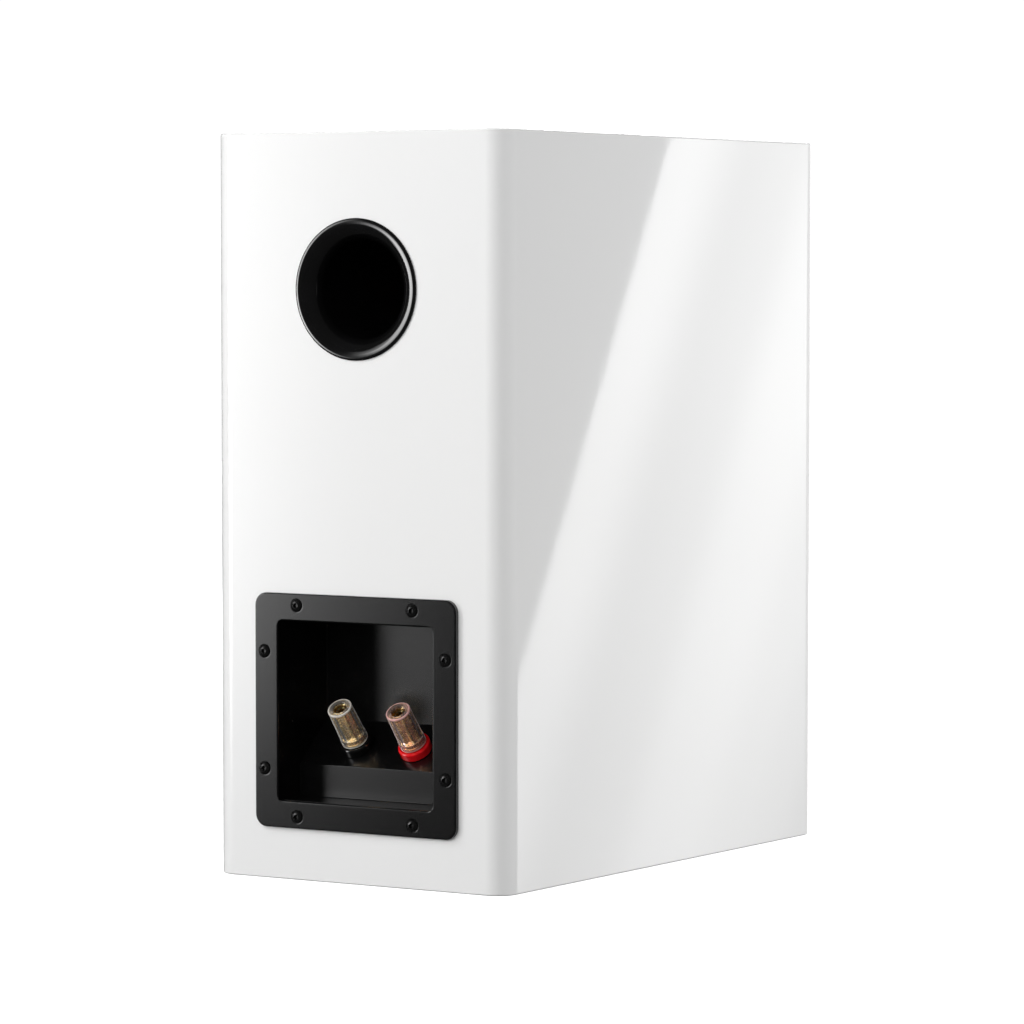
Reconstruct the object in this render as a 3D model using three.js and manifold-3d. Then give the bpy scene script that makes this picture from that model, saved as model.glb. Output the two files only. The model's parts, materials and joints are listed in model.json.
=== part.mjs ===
// Two-way bookshelf speaker with a tapered, lacquered cabinet.
// Millimetres, +Z up. The front faces -Y, the back faces +Y, and X runs across.
// The origin is on the floor, below the middle of the speaker's bounding box.
import * as THREE from 'three';
import { mergeVertices } from 'three/addons/utils/BufferGeometryUtils.js';
import Module from 'manifold-3d';

const wasm = await Module();
wasm.setup();

// ---------------------------------------------------------------- driving dimensions

const GAP = 0.3; // kept between pieces that touch

// cabinet
const FRONT_W = 216.8; // between the front corners before rounding, 215 over the rounded ones
const REAR_W = 173;
const DEPTH = 302;
const HEIGHT = 380;
const FRONT_PROUD = 5; // the woofer surround stands this far in front of the baffle
const REAR_PROUD = 4.1; // the terminal screws stand this far behind the back
const FRONT = -(DEPTH + FRONT_PROUD + REAR_PROUD) / 2 + FRONT_PROUD;
const REAR = FRONT + DEPTH;
const EDGE_R = 12; // vertical edges
const EASE = 1; // top and bottom edges
const SIDE_T = 16;
const CAP_T = 18; // top and bottom panels
const REAR_T = 18;
const BAFFLE_T = 22;
const BRACE = { y: -14, t: 12, rim: 18, bar: 24, barZ: 190, reliefR: 12 };

// terminal plate and its recess
const PLATE = { z: 86.5, size: 120, r: 6.5, t: 2.5, back: REAR + GAP };
const POCKET = { half: 46, r: 3, wall: 3, depth: 43, lowDepth: 18, floorRise: 1.8, ledgeZ: 57.4 };
const TILT = THREE.MathUtils.degToRad(50); // the posts lean this far up from the horizontal
const SCREW = { head: 3.25, headH: 1.8, shank: 1.5, length: 13, hex: 1.15, sink: 0.8 };
const SCREW_SPOTS = [
  [-34.5, 54], [34.5, 54], [54, 30], [54, -30], [34.5, -54], [-34.5, -54], [-54, -30], [-54, 30],
];

// binding posts, measured along their own axis from the slanted shelf
const POST = {
  spacing: 35, up: 14.2, collarR: 8.6, collarTop: 4.9, washerR: 5.9, washerT: 1.5,
  capR: 7, capLow: 5.2, capTop: 28.2, nutR: 4.7, nutFlangeR: 5.9, studR: 3, socketR: 2.05,
  socketDepth: 17, inside: -17,
};

// reflex port: its outer tube and the flare on its inner end
const PORT = {
  z: 300.8, rimR: 35.8, rimT: 1, bossR: 34.2, throatR: 25, wall: 2.4, flareR: 9.4,
  innerEnd: REAR - 128, innerFlareR: 12, innerFlareLength: 14, sleeveT: 2, sleeveLength: 12,
};

// woofer and tweeter
const WOOFER = {
  z: 152, flangeR: 92, holeR: 77, coneR: 62, rollR: 76, lipR: 79.5, poleR: 17.6, dustR: 32, dustRise: 9,
};
const BASKET = {
  arms: 6, holeR: 72, bowlR: 76, wallR: 72.5, bend: 22, neckR: 58, neck: 42, endR: 52,
  floorT: 3.7, floorHoleR: 24, shelfR: 47,
};
const TWEETER = { z: 303, faceR: 52, holeR: 38, domeR: 14, rollR: 18.5 };
const FLANGE_T = 4;
const GASKET_T = 1;
const WOOFER_SEAT = FRONT + GASKET_T + 2 * GAP + FLANGE_T - 0.6; // floor of the woofer's rebate
const TWEETER_SEAT = FRONT + GASKET_T + 2 * GAP + FLANGE_T - 0.4;


// felt pads on the insides of the sides
const PAD = { t: 8, y0: 7, y1: 121, z0: 40, z1: 330 };

// crossover on the floor of the cabinet, between y0 and y1
const XOVER = { half: 52, y0: 8, y1: 96, stand: 5, t: 1.6, footR: 3.5, footInset: 6 };
const INDUCTOR_BASS = { r: 21, height: 20, x: -27, y: 33 };
const INDUCTOR_TREBLE = { r: 14, height: 14, x: 28, y: 26 };
const CAPACITOR_LARGE = { r: 11, length: 42, x: -22, y: 74 };
const CAPACITOR_SMALL = { r: 8, length: 32, x: 28, y: 58 };
const RESISTOR = { x0: 12, x1: 44, y0: 76, y1: 86, height: 9 };

// ---------------------------------------------------------------- materials

const material = (name, color, roughness, metalness = 0, extra = {}) =>
  Object.assign(new THREE.MeshStandardMaterial({ color, roughness, metalness, ...extra }), { name });

const LACQUER = material('lacquer', 0xf2f2f0, 0.06);
const FIBREBOARD = material('fibreboard', 0xb08d62, 0.85);
const SATIN_BLACK = material('satin_black', 0x17181a, 0.45);
const GLOSS_BLACK = material('gloss_black', 0x050505, 0.12);
const BLACK_STEEL = material('black_steel', 0x101010, 0.35, 0.6);
const FOAM = material('foam', 0x2b2b2b, 0.95);
const GOLD = material('gold', 0xd8a744, 0.2, 1);
const CLEAR = material('clear', 0xf4f4f0, 0.05, 0, { transparent: true, opacity: 0.35 });
const RED = material('red', 0xd0101a, 0.3);
const CAST = material('cast', 0x1b1c1e, 0.5, 0.6);
const CONE = material('cone', 0x0e0e10, 0.5);
const RUBBER = material('rubber', 0x111111, 0.7);
const FERRITE = material('ferrite', 0x2a2a2c, 0.8);
const STEEL = material('steel', 0x9a9da0, 0.35, 0.9);
const COPPER = material('copper', 0xb8693a, 0.35, 0.9);
const FABRIC = material('fabric', 0x4a3a22, 0.9);
const SILK = material('silk', 0x111112, 0.8);
const BOARD = material('board', 0x14532d, 0.6);
const FILM = material('film', 0x274b8f, 0.4);
const CEMENT = material('cement', 0xd8d6cc, 0.9);
const FELT = material('felt', 0x8c8c88, 1);

// ---------------------------------------------------------------- solids

/** A closed geometry as a manifold solid that faces outward. */
function solid(geometry) {
  const bare = new THREE.BufferGeometry();
  bare.setAttribute('position', geometry.getAttribute('position'));
  bare.setIndex(geometry.getIndex());
  const merged = mergeVertices(bare, 1e-4);
  const p = merged.getAttribute('position').array;
  const all = merged.getIndex().array;
  const faces = [];
  let volume = 0;
  for (let i = 0; i < all.length; i += 3) {
    const [a, b, c] = [all[i], all[i + 1], all[i + 2]];
    if (a === b || b === c || c === a) continue;
    faces.push([a, b, c]);
    const [u, v, w] = [a, b, c].map((k) => new THREE.Vector3().fromArray(p, 3 * k));
    volume += u.dot(v.cross(w));
  }
  const outward = volume > 0 ? faces : faces.map(([a, b, c]) => [a, c, b]);
  const mesh = new wasm.Mesh({
    numProp: 3,
    vertProperties: new Float32Array(p),
    triVerts: new Uint32Array(outward.flat()),
  });
  return new wasm.Manifold(mesh);
}

const cut = (body, ...tools) => tools.flat().reduce((rest, tool) => rest.subtract(tool), body);
const join = (...bodies) => bodies.flat().reduce((whole, next) => whole.add(next));

/** A manifold solid as three.js geometry with flat facets. */
function geometryOf(body) {
  const { vertProperties, triVerts } = body.getMesh();
  const geometry = new THREE.BufferGeometry();
  geometry.setAttribute('position', new THREE.BufferAttribute(new Float32Array(vertProperties), 3));
  geometry.setIndex(new THREE.BufferAttribute(new Uint32Array(triVerts), 1));
  geometry.computeVertexNormals();
  return geometry;
}

const group = new THREE.Group();

/** Adds one named piece. */
function piece(name, body, look, parent = group) {
  const mesh = new THREE.Mesh(geometryOf(body), look);
  mesh.name = name;
  parent.add(mesh);
  return mesh;
}

/** A polygon through [x, y] pairs. */
const polygon = (points) => new THREE.Shape(points.map(([x, y]) => new THREE.Vector2(x, y)));

/** A shape drawn in plan and raised from z0 to z1. */
function upright(shape, z0, z1, curveSegments = 8) {
  const geometry = new THREE.ExtrudeGeometry(shape, {
    depth: z1 - z0, bevelEnabled: false, curveSegments,
  });
  return solid(geometry.translate(0, 0, z0));
}

/** A shape drawn in the X-Z plane, filling y0 to y1. */
function facing(shape, y0, y1, curveSegments = 8) {
  const geometry = new THREE.ExtrudeGeometry(shape, {
    depth: y1 - y0, bevelEnabled: false, curveSegments,
  });
  return solid(geometry.rotateX(Math.PI / 2).translate(0, y1, 0));
}

/** A shape drawn in the Y-Z plane, filling x0 to x1. */
function across(shape, x0, x1, curveSegments = 8) {
  const geometry = new THREE.ExtrudeGeometry(shape, {
    depth: x1 - x0, bevelEnabled: false, curveSegments,
  });
  geometry.rotateY(Math.PI / 2).rotateX(Math.PI / 2);
  return solid(geometry.translate(x0, 0, 0));
}

/** A closed profile of [radius, y] pairs turned about a line along Y through (x, z). */
function turned(profile, x = 0, z = 0, segments = 36) {
  const closed = profile[0][0] === 0 && profile.at(-1)[0] === 0 ? profile : [...profile, profile[0]];
  const points = closed.map(([r, y]) => new THREE.Vector2(r, y));
  return solid(new THREE.LatheGeometry(points, segments).translate(x, 0, z));
}

/** A plain disc or ring from y0 to y1. */
function ring(outer, inner, y0, y1, x = 0, z = 0, segments = 36) {
  const profile = inner > 0
    ? [[inner, y0], [outer, y0], [outer, y1], [inner, y1]]
    : [[0, y0], [outer, y0], [outer, y1], [0, y1]];
  return turned(profile, x, z, segments);
}

/** Points of an arc, as [radius, y] pairs. */
function arc(r0, y0, radius, from, to, steps) {
  const points = [];
  for (let i = 0; i <= steps; i += 1) {
    const a = THREE.MathUtils.degToRad(from + ((to - from) * i) / steps);
    points.push([r0 + radius * Math.cos(a), y0 + radius * Math.sin(a)]);
  }
  return points;
}

/** A square with rounded corners in the X-Z plane. */
function roundedSquare(size, r, z) {
  const h = size / 2;
  const shape = new THREE.Shape();
  shape.moveTo(-h + r, z - h);
  shape.lineTo(h - r, z - h);
  shape.absarc(h - r, z - h + r, r, -Math.PI / 2, 0);
  shape.absarc(h - r, z + h - r, r, 0, Math.PI / 2);
  shape.absarc(-h + r, z + h - r, r, Math.PI / 2, Math.PI);
  shape.absarc(-h + r, z - h + r, r, Math.PI, 1.5 * Math.PI);
  return shape;
}

/** A box between two corners. */
function box(low, high) {
  const size = high.map((v, i) => v - low[i]);
  const geometry = new THREE.BoxGeometry(...size);
  return solid(geometry.translate(...low.map((v, i) => v + size[i] / 2)));
}

// ---------------------------------------------------------------- cabinet

/** Half the cabinet's outer width at a depth y. */
const halfWidth = (y) => FRONT_W / 2 - ((FRONT_W - REAR_W) / 2) * ((y - FRONT) / DEPTH);

/** Half the clear width between the sides at a depth y. */
const SLOPE = (FRONT_W - REAR_W) / 2 / DEPTH;
const innerHalf = (y) => halfWidth(y) - SIDE_T * Math.hypot(1, SLOPE);

/** The cabinet's outer block, with rounded vertical edges and eased ends. */
function outerBlock() {
  const corners = [
    [FRONT_W / 2, FRONT], [REAR_W / 2, REAR], [-REAR_W / 2, REAR], [-FRONT_W / 2, FRONT],
  ].map(([x, y]) => new THREE.Vector2(x, y));
  const shape = new THREE.Shape();
  corners.forEach((corner, i) => {
    const before = corners[(i + 3) % 4].clone().sub(corner).normalize();
    const after = corners[(i + 1) % 4].clone().sub(corner).normalize();
    const half = Math.acos(before.dot(after)) / 2;
    const reach = EDGE_R / Math.tan(half);
    const centre = corner.clone().addScaledVector(before.clone().add(after).normalize(),
      EDGE_R / Math.sin(half));
    const start = corner.clone().addScaledVector(before, reach).sub(centre).angle();
    const end = corner.clone().addScaledVector(after, reach).sub(centre).angle();
    shape.absarc(centre.x, centre.y, EDGE_R, start, end, false);
  });
  const geometry = new THREE.ExtrudeGeometry(shape, {
    depth: HEIGHT - 2 * EASE, curveSegments: 6,
    bevelSize: EASE, bevelOffset: -EASE, bevelThickness: EASE, bevelSegments: 1,
  });
  return solid(geometry.translate(0, 0, EASE));
}

const BLOCK = outerBlock();
const INNER_FRONT = FRONT + BAFFLE_T;
const INNER_REAR = REAR - REAR_T;

/** The four-sided plan between the sides, from y0 to y1, grown outward by extra. */
const plan = (y0, y1, extra) => polygon([
  [-innerHalf(y0) - extra, y0], [innerHalf(y0) + extra, y0],
  [innerHalf(y1) + extra, y1], [-innerHalf(y1) - extra, y1],
]);

function screwHoles(r, y0, y1, segments = 8) {
  return SCREW_SPOTS.map(([x, z]) => ring(r, 0, y0, y1, x, PLATE.z + z, segments));
}

function frontBaffle() {
  const blank = BLOCK.intersect(box([-200, FRONT - 1, -1], [200, INNER_FRONT, HEIGHT + 1]));
  return cut(
    blank,
    ring(WOOFER.holeR, 0, FRONT - 2, INNER_FRONT + 1, 0, WOOFER.z, 48),
    ring(WOOFER.flangeR + GAP, 0, FRONT - 2, WOOFER_SEAT, 0, WOOFER.z, 48),
    ring(TWEETER.holeR, 0, FRONT - 2, INNER_FRONT + 1, 0, TWEETER.z),
    ring(TWEETER.faceR + GAP, 0, FRONT - 2, TWEETER_SEAT, 0, TWEETER.z, 48),
  );
}

const GASKET_SEAT = REAR - GASKET_T; // floor of the shallow rebate for the gasket
const REBATE = PLATE.size - 1.4;
const CUTOUT = 2 * (POCKET.half + POCKET.wall + 1);
const CUTOUT_R = 4;

function rearPanel() {
  const blank = BLOCK.intersect(box([-200, INNER_REAR, -1], [200, REAR + 1, HEIGHT + 1]));
  return cut(
    blank,
    ring(PORT.bossR + 2 * GAP, 0, INNER_REAR - 1, REAR + 1, 0, PORT.z, 32),
    facing(roundedSquare(CUTOUT, CUTOUT_R, PLATE.z), INNER_REAR - 1, REAR + 1, 3),
    facing(roundedSquare(REBATE, PLATE.r, PLATE.z), GASKET_SEAT, REAR + 1, 3),
    screwHoles(SCREW.shank + GAP, REAR - SCREW.length - 1, REAR + 1),
  );
}

function sidePanel(sign) {
  const y0 = INNER_FRONT + GAP;
  const y1 = INNER_REAR - GAP;
  const slab = box([sign > 0 ? 0 : -200, y0, -1], [sign > 0 ? 200 : 0, y1, HEIGHT + 1]);
  const inside = upright(plan(y0 - 5, y1 + 5, 0), -2, HEIGHT + 2);
  return BLOCK.intersect(slab).subtract(inside);
}

function endPanel(z0, z1) {
  const inside = upright(plan(INNER_FRONT + GAP, INNER_REAR - GAP, -GAP), z0, z1);
  return BLOCK.intersect(inside);
}

function windowBrace() {
  const y0 = BRACE.y;
  const y1 = y0 + BRACE.t;
  const low = CAP_T + GAP;
  const high = HEIGHT - CAP_T - GAP;
  const blank = upright(plan(y0, y1, -GAP), low, high);
  const half = innerHalf(y1) - GAP - BRACE.rim;
  const window = (z0, z1) => {
    const r = BRACE.reliefR;
    const shape = new THREE.Shape();
    shape.absarc(half - r, z0 + r, r, -Math.PI / 2, 0);
    shape.absarc(half - r, z1 - r, r, 0, Math.PI / 2);
    shape.absarc(-half + r, z1 - r, r, Math.PI / 2, Math.PI);
    shape.absarc(-half + r, z0 + r, r, Math.PI, 1.5 * Math.PI);
    return facing(shape, y0 - 1, y1 + 1, 3);
  };
  return cut(
    blank,
    window(low + BRACE.rim, BRACE.barZ - BRACE.bar / 2),
    window(BRACE.barZ + BRACE.bar / 2, high - BRACE.rim),
  );
}

piece('front_baffle', frontBaffle(), LACQUER);
piece('rear_panel', rearPanel(), LACQUER);
piece('side_left', sidePanel(-1), LACQUER);
piece('side_right', sidePanel(1), LACQUER);
piece('top_panel', endPanel(HEIGHT - CAP_T, HEIGHT), LACQUER);
piece('bottom_panel', endPanel(0, CAP_T), LACQUER);
piece('window_brace', windowBrace(), FIBREBOARD);

// ---------------------------------------------------------------- terminal plate

const SHELF_DIR = [-Math.sin(TILT), Math.cos(TILT)]; // along the slanted shelf: [y, z]
const POST_DIR = [Math.cos(TILT), Math.sin(TILT)]; // along a post, outward: [y, z]
const LEDGE = [REAR - POCKET.lowDepth, POCKET.ledgeZ];
const POST_BASE = LEDGE.map((v, i) => v + POST.up * SHELF_DIR[i]);
const FLANGE_FRONT = PLATE.back + PLATE.t;
const POCKET_LOW = PLATE.z - POCKET.half;
const POCKET_HIGH = PLATE.z + POCKET.half;

/** The recess's outline in the Y-Z plane, grown outward by w, reaching to y at the mouth. */
function pocketProfile(w, mouth) {
  const back = REAR - POCKET.depth - w;
  const low = LEDGE[0] - w;
  const shelfZ = (y) => LEDGE[1] - (w * POST_DIR[1])
    + ((LEDGE[0] - w * POST_DIR[0] - y) * SHELF_DIR[1]) / -SHELF_DIR[0];
  return polygon([
    [mouth, POCKET_LOW - w], [low, POCKET_LOW - w + POCKET.floorRise], [low, shelfZ(low)],
    [back, shelfZ(back)], [back, POCKET_HIGH + w], [mouth, POCKET_HIGH + w],
  ]);
}

/** A turned profile of [radius, distance] pairs along a post's axis, at x across. */
function onPost(profile, x, segments = 16) {
  const body = turned(profile, 0, 0, segments);
  const place = new THREE.Matrix4().makeRotationX(TILT).setPosition(x, ...POST_BASE);
  return body.transform(place.elements);
}

function terminalCup() {
  const half = POCKET.half + POCKET.wall;
  const flange = facing(roundedSquare(PLATE.size, PLATE.r, PLATE.z), PLATE.back, FLANGE_FRONT, 4);
  const shell = across(pocketProfile(POCKET.wall, PLATE.back + 1), -half, half)
    .intersect(facing(roundedSquare(2 * half, POCKET.r + POCKET.wall, PLATE.z), 0, REAR + 9, 3));
  const hollow = across(pocketProfile(0, REAR + 9), -POCKET.half, POCKET.half)
    .intersect(facing(roundedSquare(2 * POCKET.half, POCKET.r, PLATE.z), 0, REAR + 10, 3));
  const postHole = [[0, -8], [POST.studR + GAP, -8], [POST.studR + GAP, 4], [0, 4]];
  return cut(
    join(flange, shell),
    hollow,
    screwHoles(SCREW.shank + GAP, REAR - 1, REAR + 9),
    screwHoles(SCREW.head + 0.45, FLANGE_FRONT - SCREW.sink, REAR + 9, 12),
    [-1, 1].map((side) => onPost(postHole, (side * POST.spacing) / 2)),
  );
}

function terminalGasket() {
  const outer = facing(roundedSquare(REBATE - 2 * GAP, PLATE.r, PLATE.z), GASKET_SEAT + GAP, REAR, 3);
  const hole = roundedSquare(CUTOUT + 2 * GAP, CUTOUT_R, PLATE.z);
  const inner = facing(hole, GASKET_SEAT - 1, REAR + 1, 3);
  return cut(outer, inner, screwHoles(SCREW.shank + 0.5, GASKET_SEAT - 1, REAR + 1));
}

/** A button-head screw with a hexagon socket, along +Y. */
function terminalScrew(x, z) {
  const seat = FLANGE_FRONT - SCREW.sink + GAP;
  const top = seat + SCREW.headH;
  const body = turned([
    [0, REAR - SCREW.length], [SCREW.shank - 0.5, REAR - SCREW.length],
    [SCREW.shank, REAR - SCREW.length + 1.5], [SCREW.shank, seat], [SCREW.head, seat],
    [SCREW.head, seat + 0.4], [SCREW.head * 0.86, seat + 1.2], [SCREW.head * 0.6, top], [0, top],
  ], x, z, 12);
  return cut(body, ring(SCREW.hex, 0, top - 1.1, top + 1, x, z, 6));
}

piece('terminal_cup', terminalCup(), SATIN_BLACK);
piece('terminal_gasket', terminalGasket(), FOAM);
SCREW_SPOTS.forEach(([x, z], i) => {
  piece(`terminal_screw_${i + 1}`, terminalScrew(x, PLATE.z + z), BLACK_STEEL);
});

// ---------------------------------------------------------------- binding posts

/** One binding post: a fixed stud and collar, and a cap that screws down on a washer. */
function bindingPost(colour, side, collarLook) {
  const post = new THREE.Group();
  post.position.set((side * POST.spacing) / 2, ...POST_BASE);
  post.rotation.x = TILT;
  group.add(post);
  const add = (part, profile, look, segments = 16) =>
    piece(`post_${colour}_${part}`, turned(profile, 0, 0, segments), look, post);

  const bore = POST.studR + GAP;
  const washerLow = POST.collarTop + GAP;
  const nutLow = washerLow + POST.washerT + GAP;
  const nutTop = POST.capTop - 1.2;
  const wallBack = -POCKET.wall;
  add('collar', [
    [bore, GAP], [POST.collarR, GAP], [POST.collarR, POST.collarTop - 1],
    [POST.collarR - 1, POST.collarTop], [bore, POST.collarTop],
  ], collarLook, 20);
  add('stud', [
    [0, POST.inside], [POST.studR, POST.inside], [POST.studR, nutTop - 1],
    [POST.socketR, nutTop - 1], [POST.socketR, nutTop - POST.socketDepth],
    [0, nutTop - POST.socketDepth - 1],
  ], GOLD);
  add('washer', [
    [bore, washerLow], [POST.washerR, washerLow], [POST.washerR, washerLow + POST.washerT],
    [bore, washerLow + POST.washerT],
  ], GOLD);
  add('nut', [
    [bore, nutLow], [POST.nutFlangeR, nutLow], [POST.nutFlangeR, nutLow + 2],
    [POST.nutR, nutLow + 2], [POST.nutR, nutTop], [bore, nutTop],
  ], GOLD);
  add('cap', [
    [POST.nutFlangeR + GAP, POST.capLow], [POST.capR - 0.8, POST.capLow],
    [POST.capR, POST.capLow + 0.8], [POST.capR, POST.capTop - 1], [POST.capR - 1, POST.capTop],
    [POST.nutR + GAP, POST.capTop], [POST.nutR + GAP, nutLow + 2 + GAP],
    [POST.nutFlangeR + GAP, nutLow + 2 + GAP],
  ], CLEAR, 20);
  add('backing', [
    [bore, wallBack - GAP - 2], [6.5, wallBack - GAP - 2], [6.5, wallBack - GAP],
    [bore, wallBack - GAP],
  ], GLOSS_BLACK);
  const nutFace = wallBack - 2 * GAP - 2;
  const rearNut = cut(ring(5.5, 0, nutFace - 4, nutFace, 0, 0, 6), ring(bore, 0, -30, 0, 0, 0, 16));
  piece(`post_${colour}_rear_nut`, rearNut, GOLD, post);
}

bindingPost('black', 1, GLOSS_BLACK);
bindingPost('red', -1, RED);

// ---------------------------------------------------------------- reflex port

function portTube() {
  const face = REAR + GAP + PORT.rimT;
  const flareR = PORT.flareR;
  const centreY = face - flareR;
  const mouth = arc(PORT.throatR + flareR, centreY, flareR, 180, 90, 6);
  const outer = flareR - PORT.wall;
  const back = arc(PORT.throatR + flareR, centreY, outer, 180, 110, 4).reverse();
  const innerEnd = PORT.innerEnd + PORT.innerFlareLength + GAP;
  return turned([
    [PORT.throatR, innerEnd], ...mouth, [PORT.rimR - 0.5, face], [PORT.rimR, face - 0.5],
    [PORT.rimR, REAR + GAP], [PORT.bossR, REAR + GAP], [PORT.bossR, REAR - 1.6],
    ...back, [PORT.throatR + PORT.wall, innerEnd],
  ], 0, PORT.z, 32);
}

function portInnerFlare() {
  const end = PORT.innerEnd;
  const r = PORT.innerFlareR;
  const mouth = arc(PORT.throatR + r, end + r, r, 180, 250, 4);
  const outer = arc(PORT.throatR + r, end + r, r - PORT.wall, 180, 250, 4).reverse();
  const seat = end + PORT.innerFlareLength;
  const sleeve = PORT.throatR + PORT.wall + GAP;
  const sleeveOuter = sleeve + PORT.sleeveT;
  return turned([
    [PORT.throatR, seat], ...mouth, ...outer, [PORT.throatR + PORT.wall, seat - 0.5],
    [sleeveOuter, seat + 1], [sleeveOuter, seat + PORT.sleeveLength],
    [sleeve, seat + PORT.sleeveLength], [sleeve, seat],
  ], 0, PORT.z, 24);
}

piece('port_tube', portTube(), GLOSS_BLACK);
piece('port_inner_flare', portInnerFlare(), SATIN_BLACK);

// ---------------------------------------------------------------- woofer

const W = WOOFER_SEAT - 2 * GAP - GASKET_T; // back of the woofer's mounting flange
const WOOFER_FACE = W - FLANGE_T;
const SPIDER_Y = FRONT + 38;
const MOTOR_Y = FRONT + 54; // front of the magnet's top plate
const MOTOR = { plateT: 6, magnetT: 18, holeR: 20.3, magnetR: 48, plateR: 45 };
const COIL = { inner: 18.3, outer: 19.1, wound: 19.7 };
const NECK_R = COIL.outer + GAP;

/** A ring about the woofer's axis. */
const wooferRing = (outer, inner, y0, y1) => ring(outer, inner, y0, y1, 0, WOOFER.z, 36);

function wooferBasket() {
  const flange = wooferRing(WOOFER.flangeR, BASKET.holeR, WOOFER_FACE, W);
  const floor = MOTOR_Y - GAP;
  const floorTop = floor - BASKET.floorT;
  const shelfBack = SPIDER_Y + 3;
  const bowl = turned([
    [BASKET.bowlR, W - 1], [BASKET.bowlR, FRONT + BASKET.bend], [BASKET.neckR, FRONT + BASKET.neck],
    [BASKET.endR, floor], [BASKET.floorHoleR, floor], [BASKET.floorHoleR, floorTop],
    [BASKET.shelfR - 1, floorTop], [BASKET.shelfR + 3, shelfBack], [BASKET.shelfR, shelfBack],
    [BASKET.shelfR, SPIDER_Y], [BASKET.neckR - 2, SPIDER_Y], [BASKET.wallR, FRONT + BASKET.bend - 2],
    [BASKET.wallR, W - 1],
  ], 0, WOOFER.z, 36);
  const outline = polygon([[-28, 90], [-16, 55], [16, 55], [28, 90]]); // between two arms
  const windows = [];
  for (let i = 0; i < BASKET.arms; i += 1) {
    const turn = new THREE.Matrix4().makeRotationY((i * 2 * Math.PI) / BASKET.arms);
    turn.setPosition(0, 0, WOOFER.z);
    windows.push(facing(outline, FRONT + 14, SPIDER_Y - 1).transform(turn.elements));
  }
  return cut(join(flange, bowl), windows);
}

/** The front face of the cone at radius r. */
const coneY = (r) => WOOFER_FACE + 34 * ((WOOFER.coneR - r) / (WOOFER.coneR - NECK_R)) ** 1.15;

function wooferCone() {
  const front = [];
  const steps = 5;
  for (let i = 0; i <= steps; i += 1) {
    const r = NECK_R + ((WOOFER.coneR - NECK_R) * i) / steps;
    front.push([r, coneY(r)]);
  }
  const back = front.map(([r, y]) => [r, y + 1.3]).reverse();
  return turned([...front, ...back], 0, WOOFER.z, 36);
}

/** A quarter ellipse from the axis out to radius r, as [radius, y] pairs; its edge is at y. */
function domeArc(r, y, rise, steps = 5) {
  const points = [];
  for (let i = 0; i <= steps; i += 1) {
    const a = (i / steps) * (Math.PI / 2);
    points.push([r * Math.sin(a), y - rise * Math.cos(a)]);
  }
  return points;
}

function dustCap() {
  const r = WOOFER.dustR;
  const t = 1;
  const edge = coneY(r) - GAP - t;
  const front = domeArc(r, edge, WOOFER.dustRise);
  const back = domeArc(r - 0.4, edge, WOOFER.dustRise - t).reverse();
  return turned([...front, [r, edge + t], [r - 0.4, edge + t], ...back], 0, WOOFER.z, 28);
}

/** The voice coil on its former. */
const voiceCoil = () => turned([
  [COIL.inner, FRONT + 31], [COIL.outer, FRONT + 31], [COIL.outer, MOTOR_Y - 4],
  [COIL.wound, MOTOR_Y - 4], [COIL.wound, MOTOR_Y + 10], [COIL.inner, MOTOR_Y + 10],
], 0, WOOFER.z, 24);

/** A corrugated disc that centres the coil. */
function wooferSpider() {
  const r0 = NECK_R;
  const r1 = BASKET.neckR - 4;
  const t = 0.6;
  const wave = 1.6;
  const y = SPIDER_Y - GAP - t;
  const rings = 4;
  const steps = rings * 2;
  const upper = [];
  for (let i = 0; i <= steps; i += 1) {
    const dy = i < steps ? wave * (i % 2) : 0;
    upper.push([r0 + ((r1 - r0) * i) / steps, y - dy]);
  }
  const lower = upper.map(([r, v]) => [r, v + t]).reverse();
  return turned([...upper, ...lower], 0, WOOFER.z, 24);
}

/** A half-roll ring whose lip lies on the mounting flange. */
function wooferSurround() {
  const inner = WOOFER.coneR + GAP;
  const mid = (inner + WOOFER.rollR) / 2;
  const half = (WOOFER.rollR - inner) / 2;
  const lipY = WOOFER_FACE - GAP;
  const rise = lipY - (FRONT - FRONT_PROUD);
  const roll = (drop) => arc(mid, 0, half - drop, 180, 0, 6)
    .map(([r, y]) => [r, lipY - (y / (half - drop)) * (rise - drop)]);
  const t = 1.2;
  return turned([
    ...roll(0), [WOOFER.lipR, lipY - t], [WOOFER.lipR, lipY], ...roll(t).reverse(),
  ], 0, WOOFER.z, 36);
}

function wooferBackPlate() {
  const front = MOTOR_Y + MOTOR.plateT + MOTOR.magnetT + 2 * GAP;
  const back = front + MOTOR.plateT;
  const vent = 6;
  return turned([
    [vent, MOTOR_Y - 1], [WOOFER.poleR, MOTOR_Y - 1], [WOOFER.poleR, front],
    [MOTOR.plateR, front], [MOTOR.plateR, back - 1.5], [MOTOR.plateR - 1.5, back],
    [vent + 2, back], [vent, back - 2],
  ], 0, WOOFER.z, 28);
}

piece('woofer_basket', wooferBasket(), CAST);
piece('woofer_gasket',
  wooferRing(WOOFER.flangeR - 1, WOOFER.holeR + 1, W + GAP, W + GAP + GASKET_T), FOAM);
piece('woofer_surround', wooferSurround(), RUBBER);
piece('woofer_cone', wooferCone(), CONE);
piece('woofer_dust_cap', dustCap(), CONE);
piece('woofer_coil', voiceCoil(), COPPER);
piece('woofer_spider', wooferSpider(), FABRIC);
piece('woofer_top_plate',
  wooferRing(MOTOR.plateR, MOTOR.holeR, MOTOR_Y, MOTOR_Y + MOTOR.plateT), STEEL);
const WOOFER_MAGNET_Y = MOTOR_Y + MOTOR.plateT + GAP;
piece('woofer_magnet',
  wooferRing(MOTOR.magnetR, MOTOR.holeR + 3, WOOFER_MAGNET_Y, WOOFER_MAGNET_Y + MOTOR.magnetT),
  FERRITE);
piece('woofer_back_plate', wooferBackPlate(), STEEL);

// ---------------------------------------------------------------- tweeter

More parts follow.
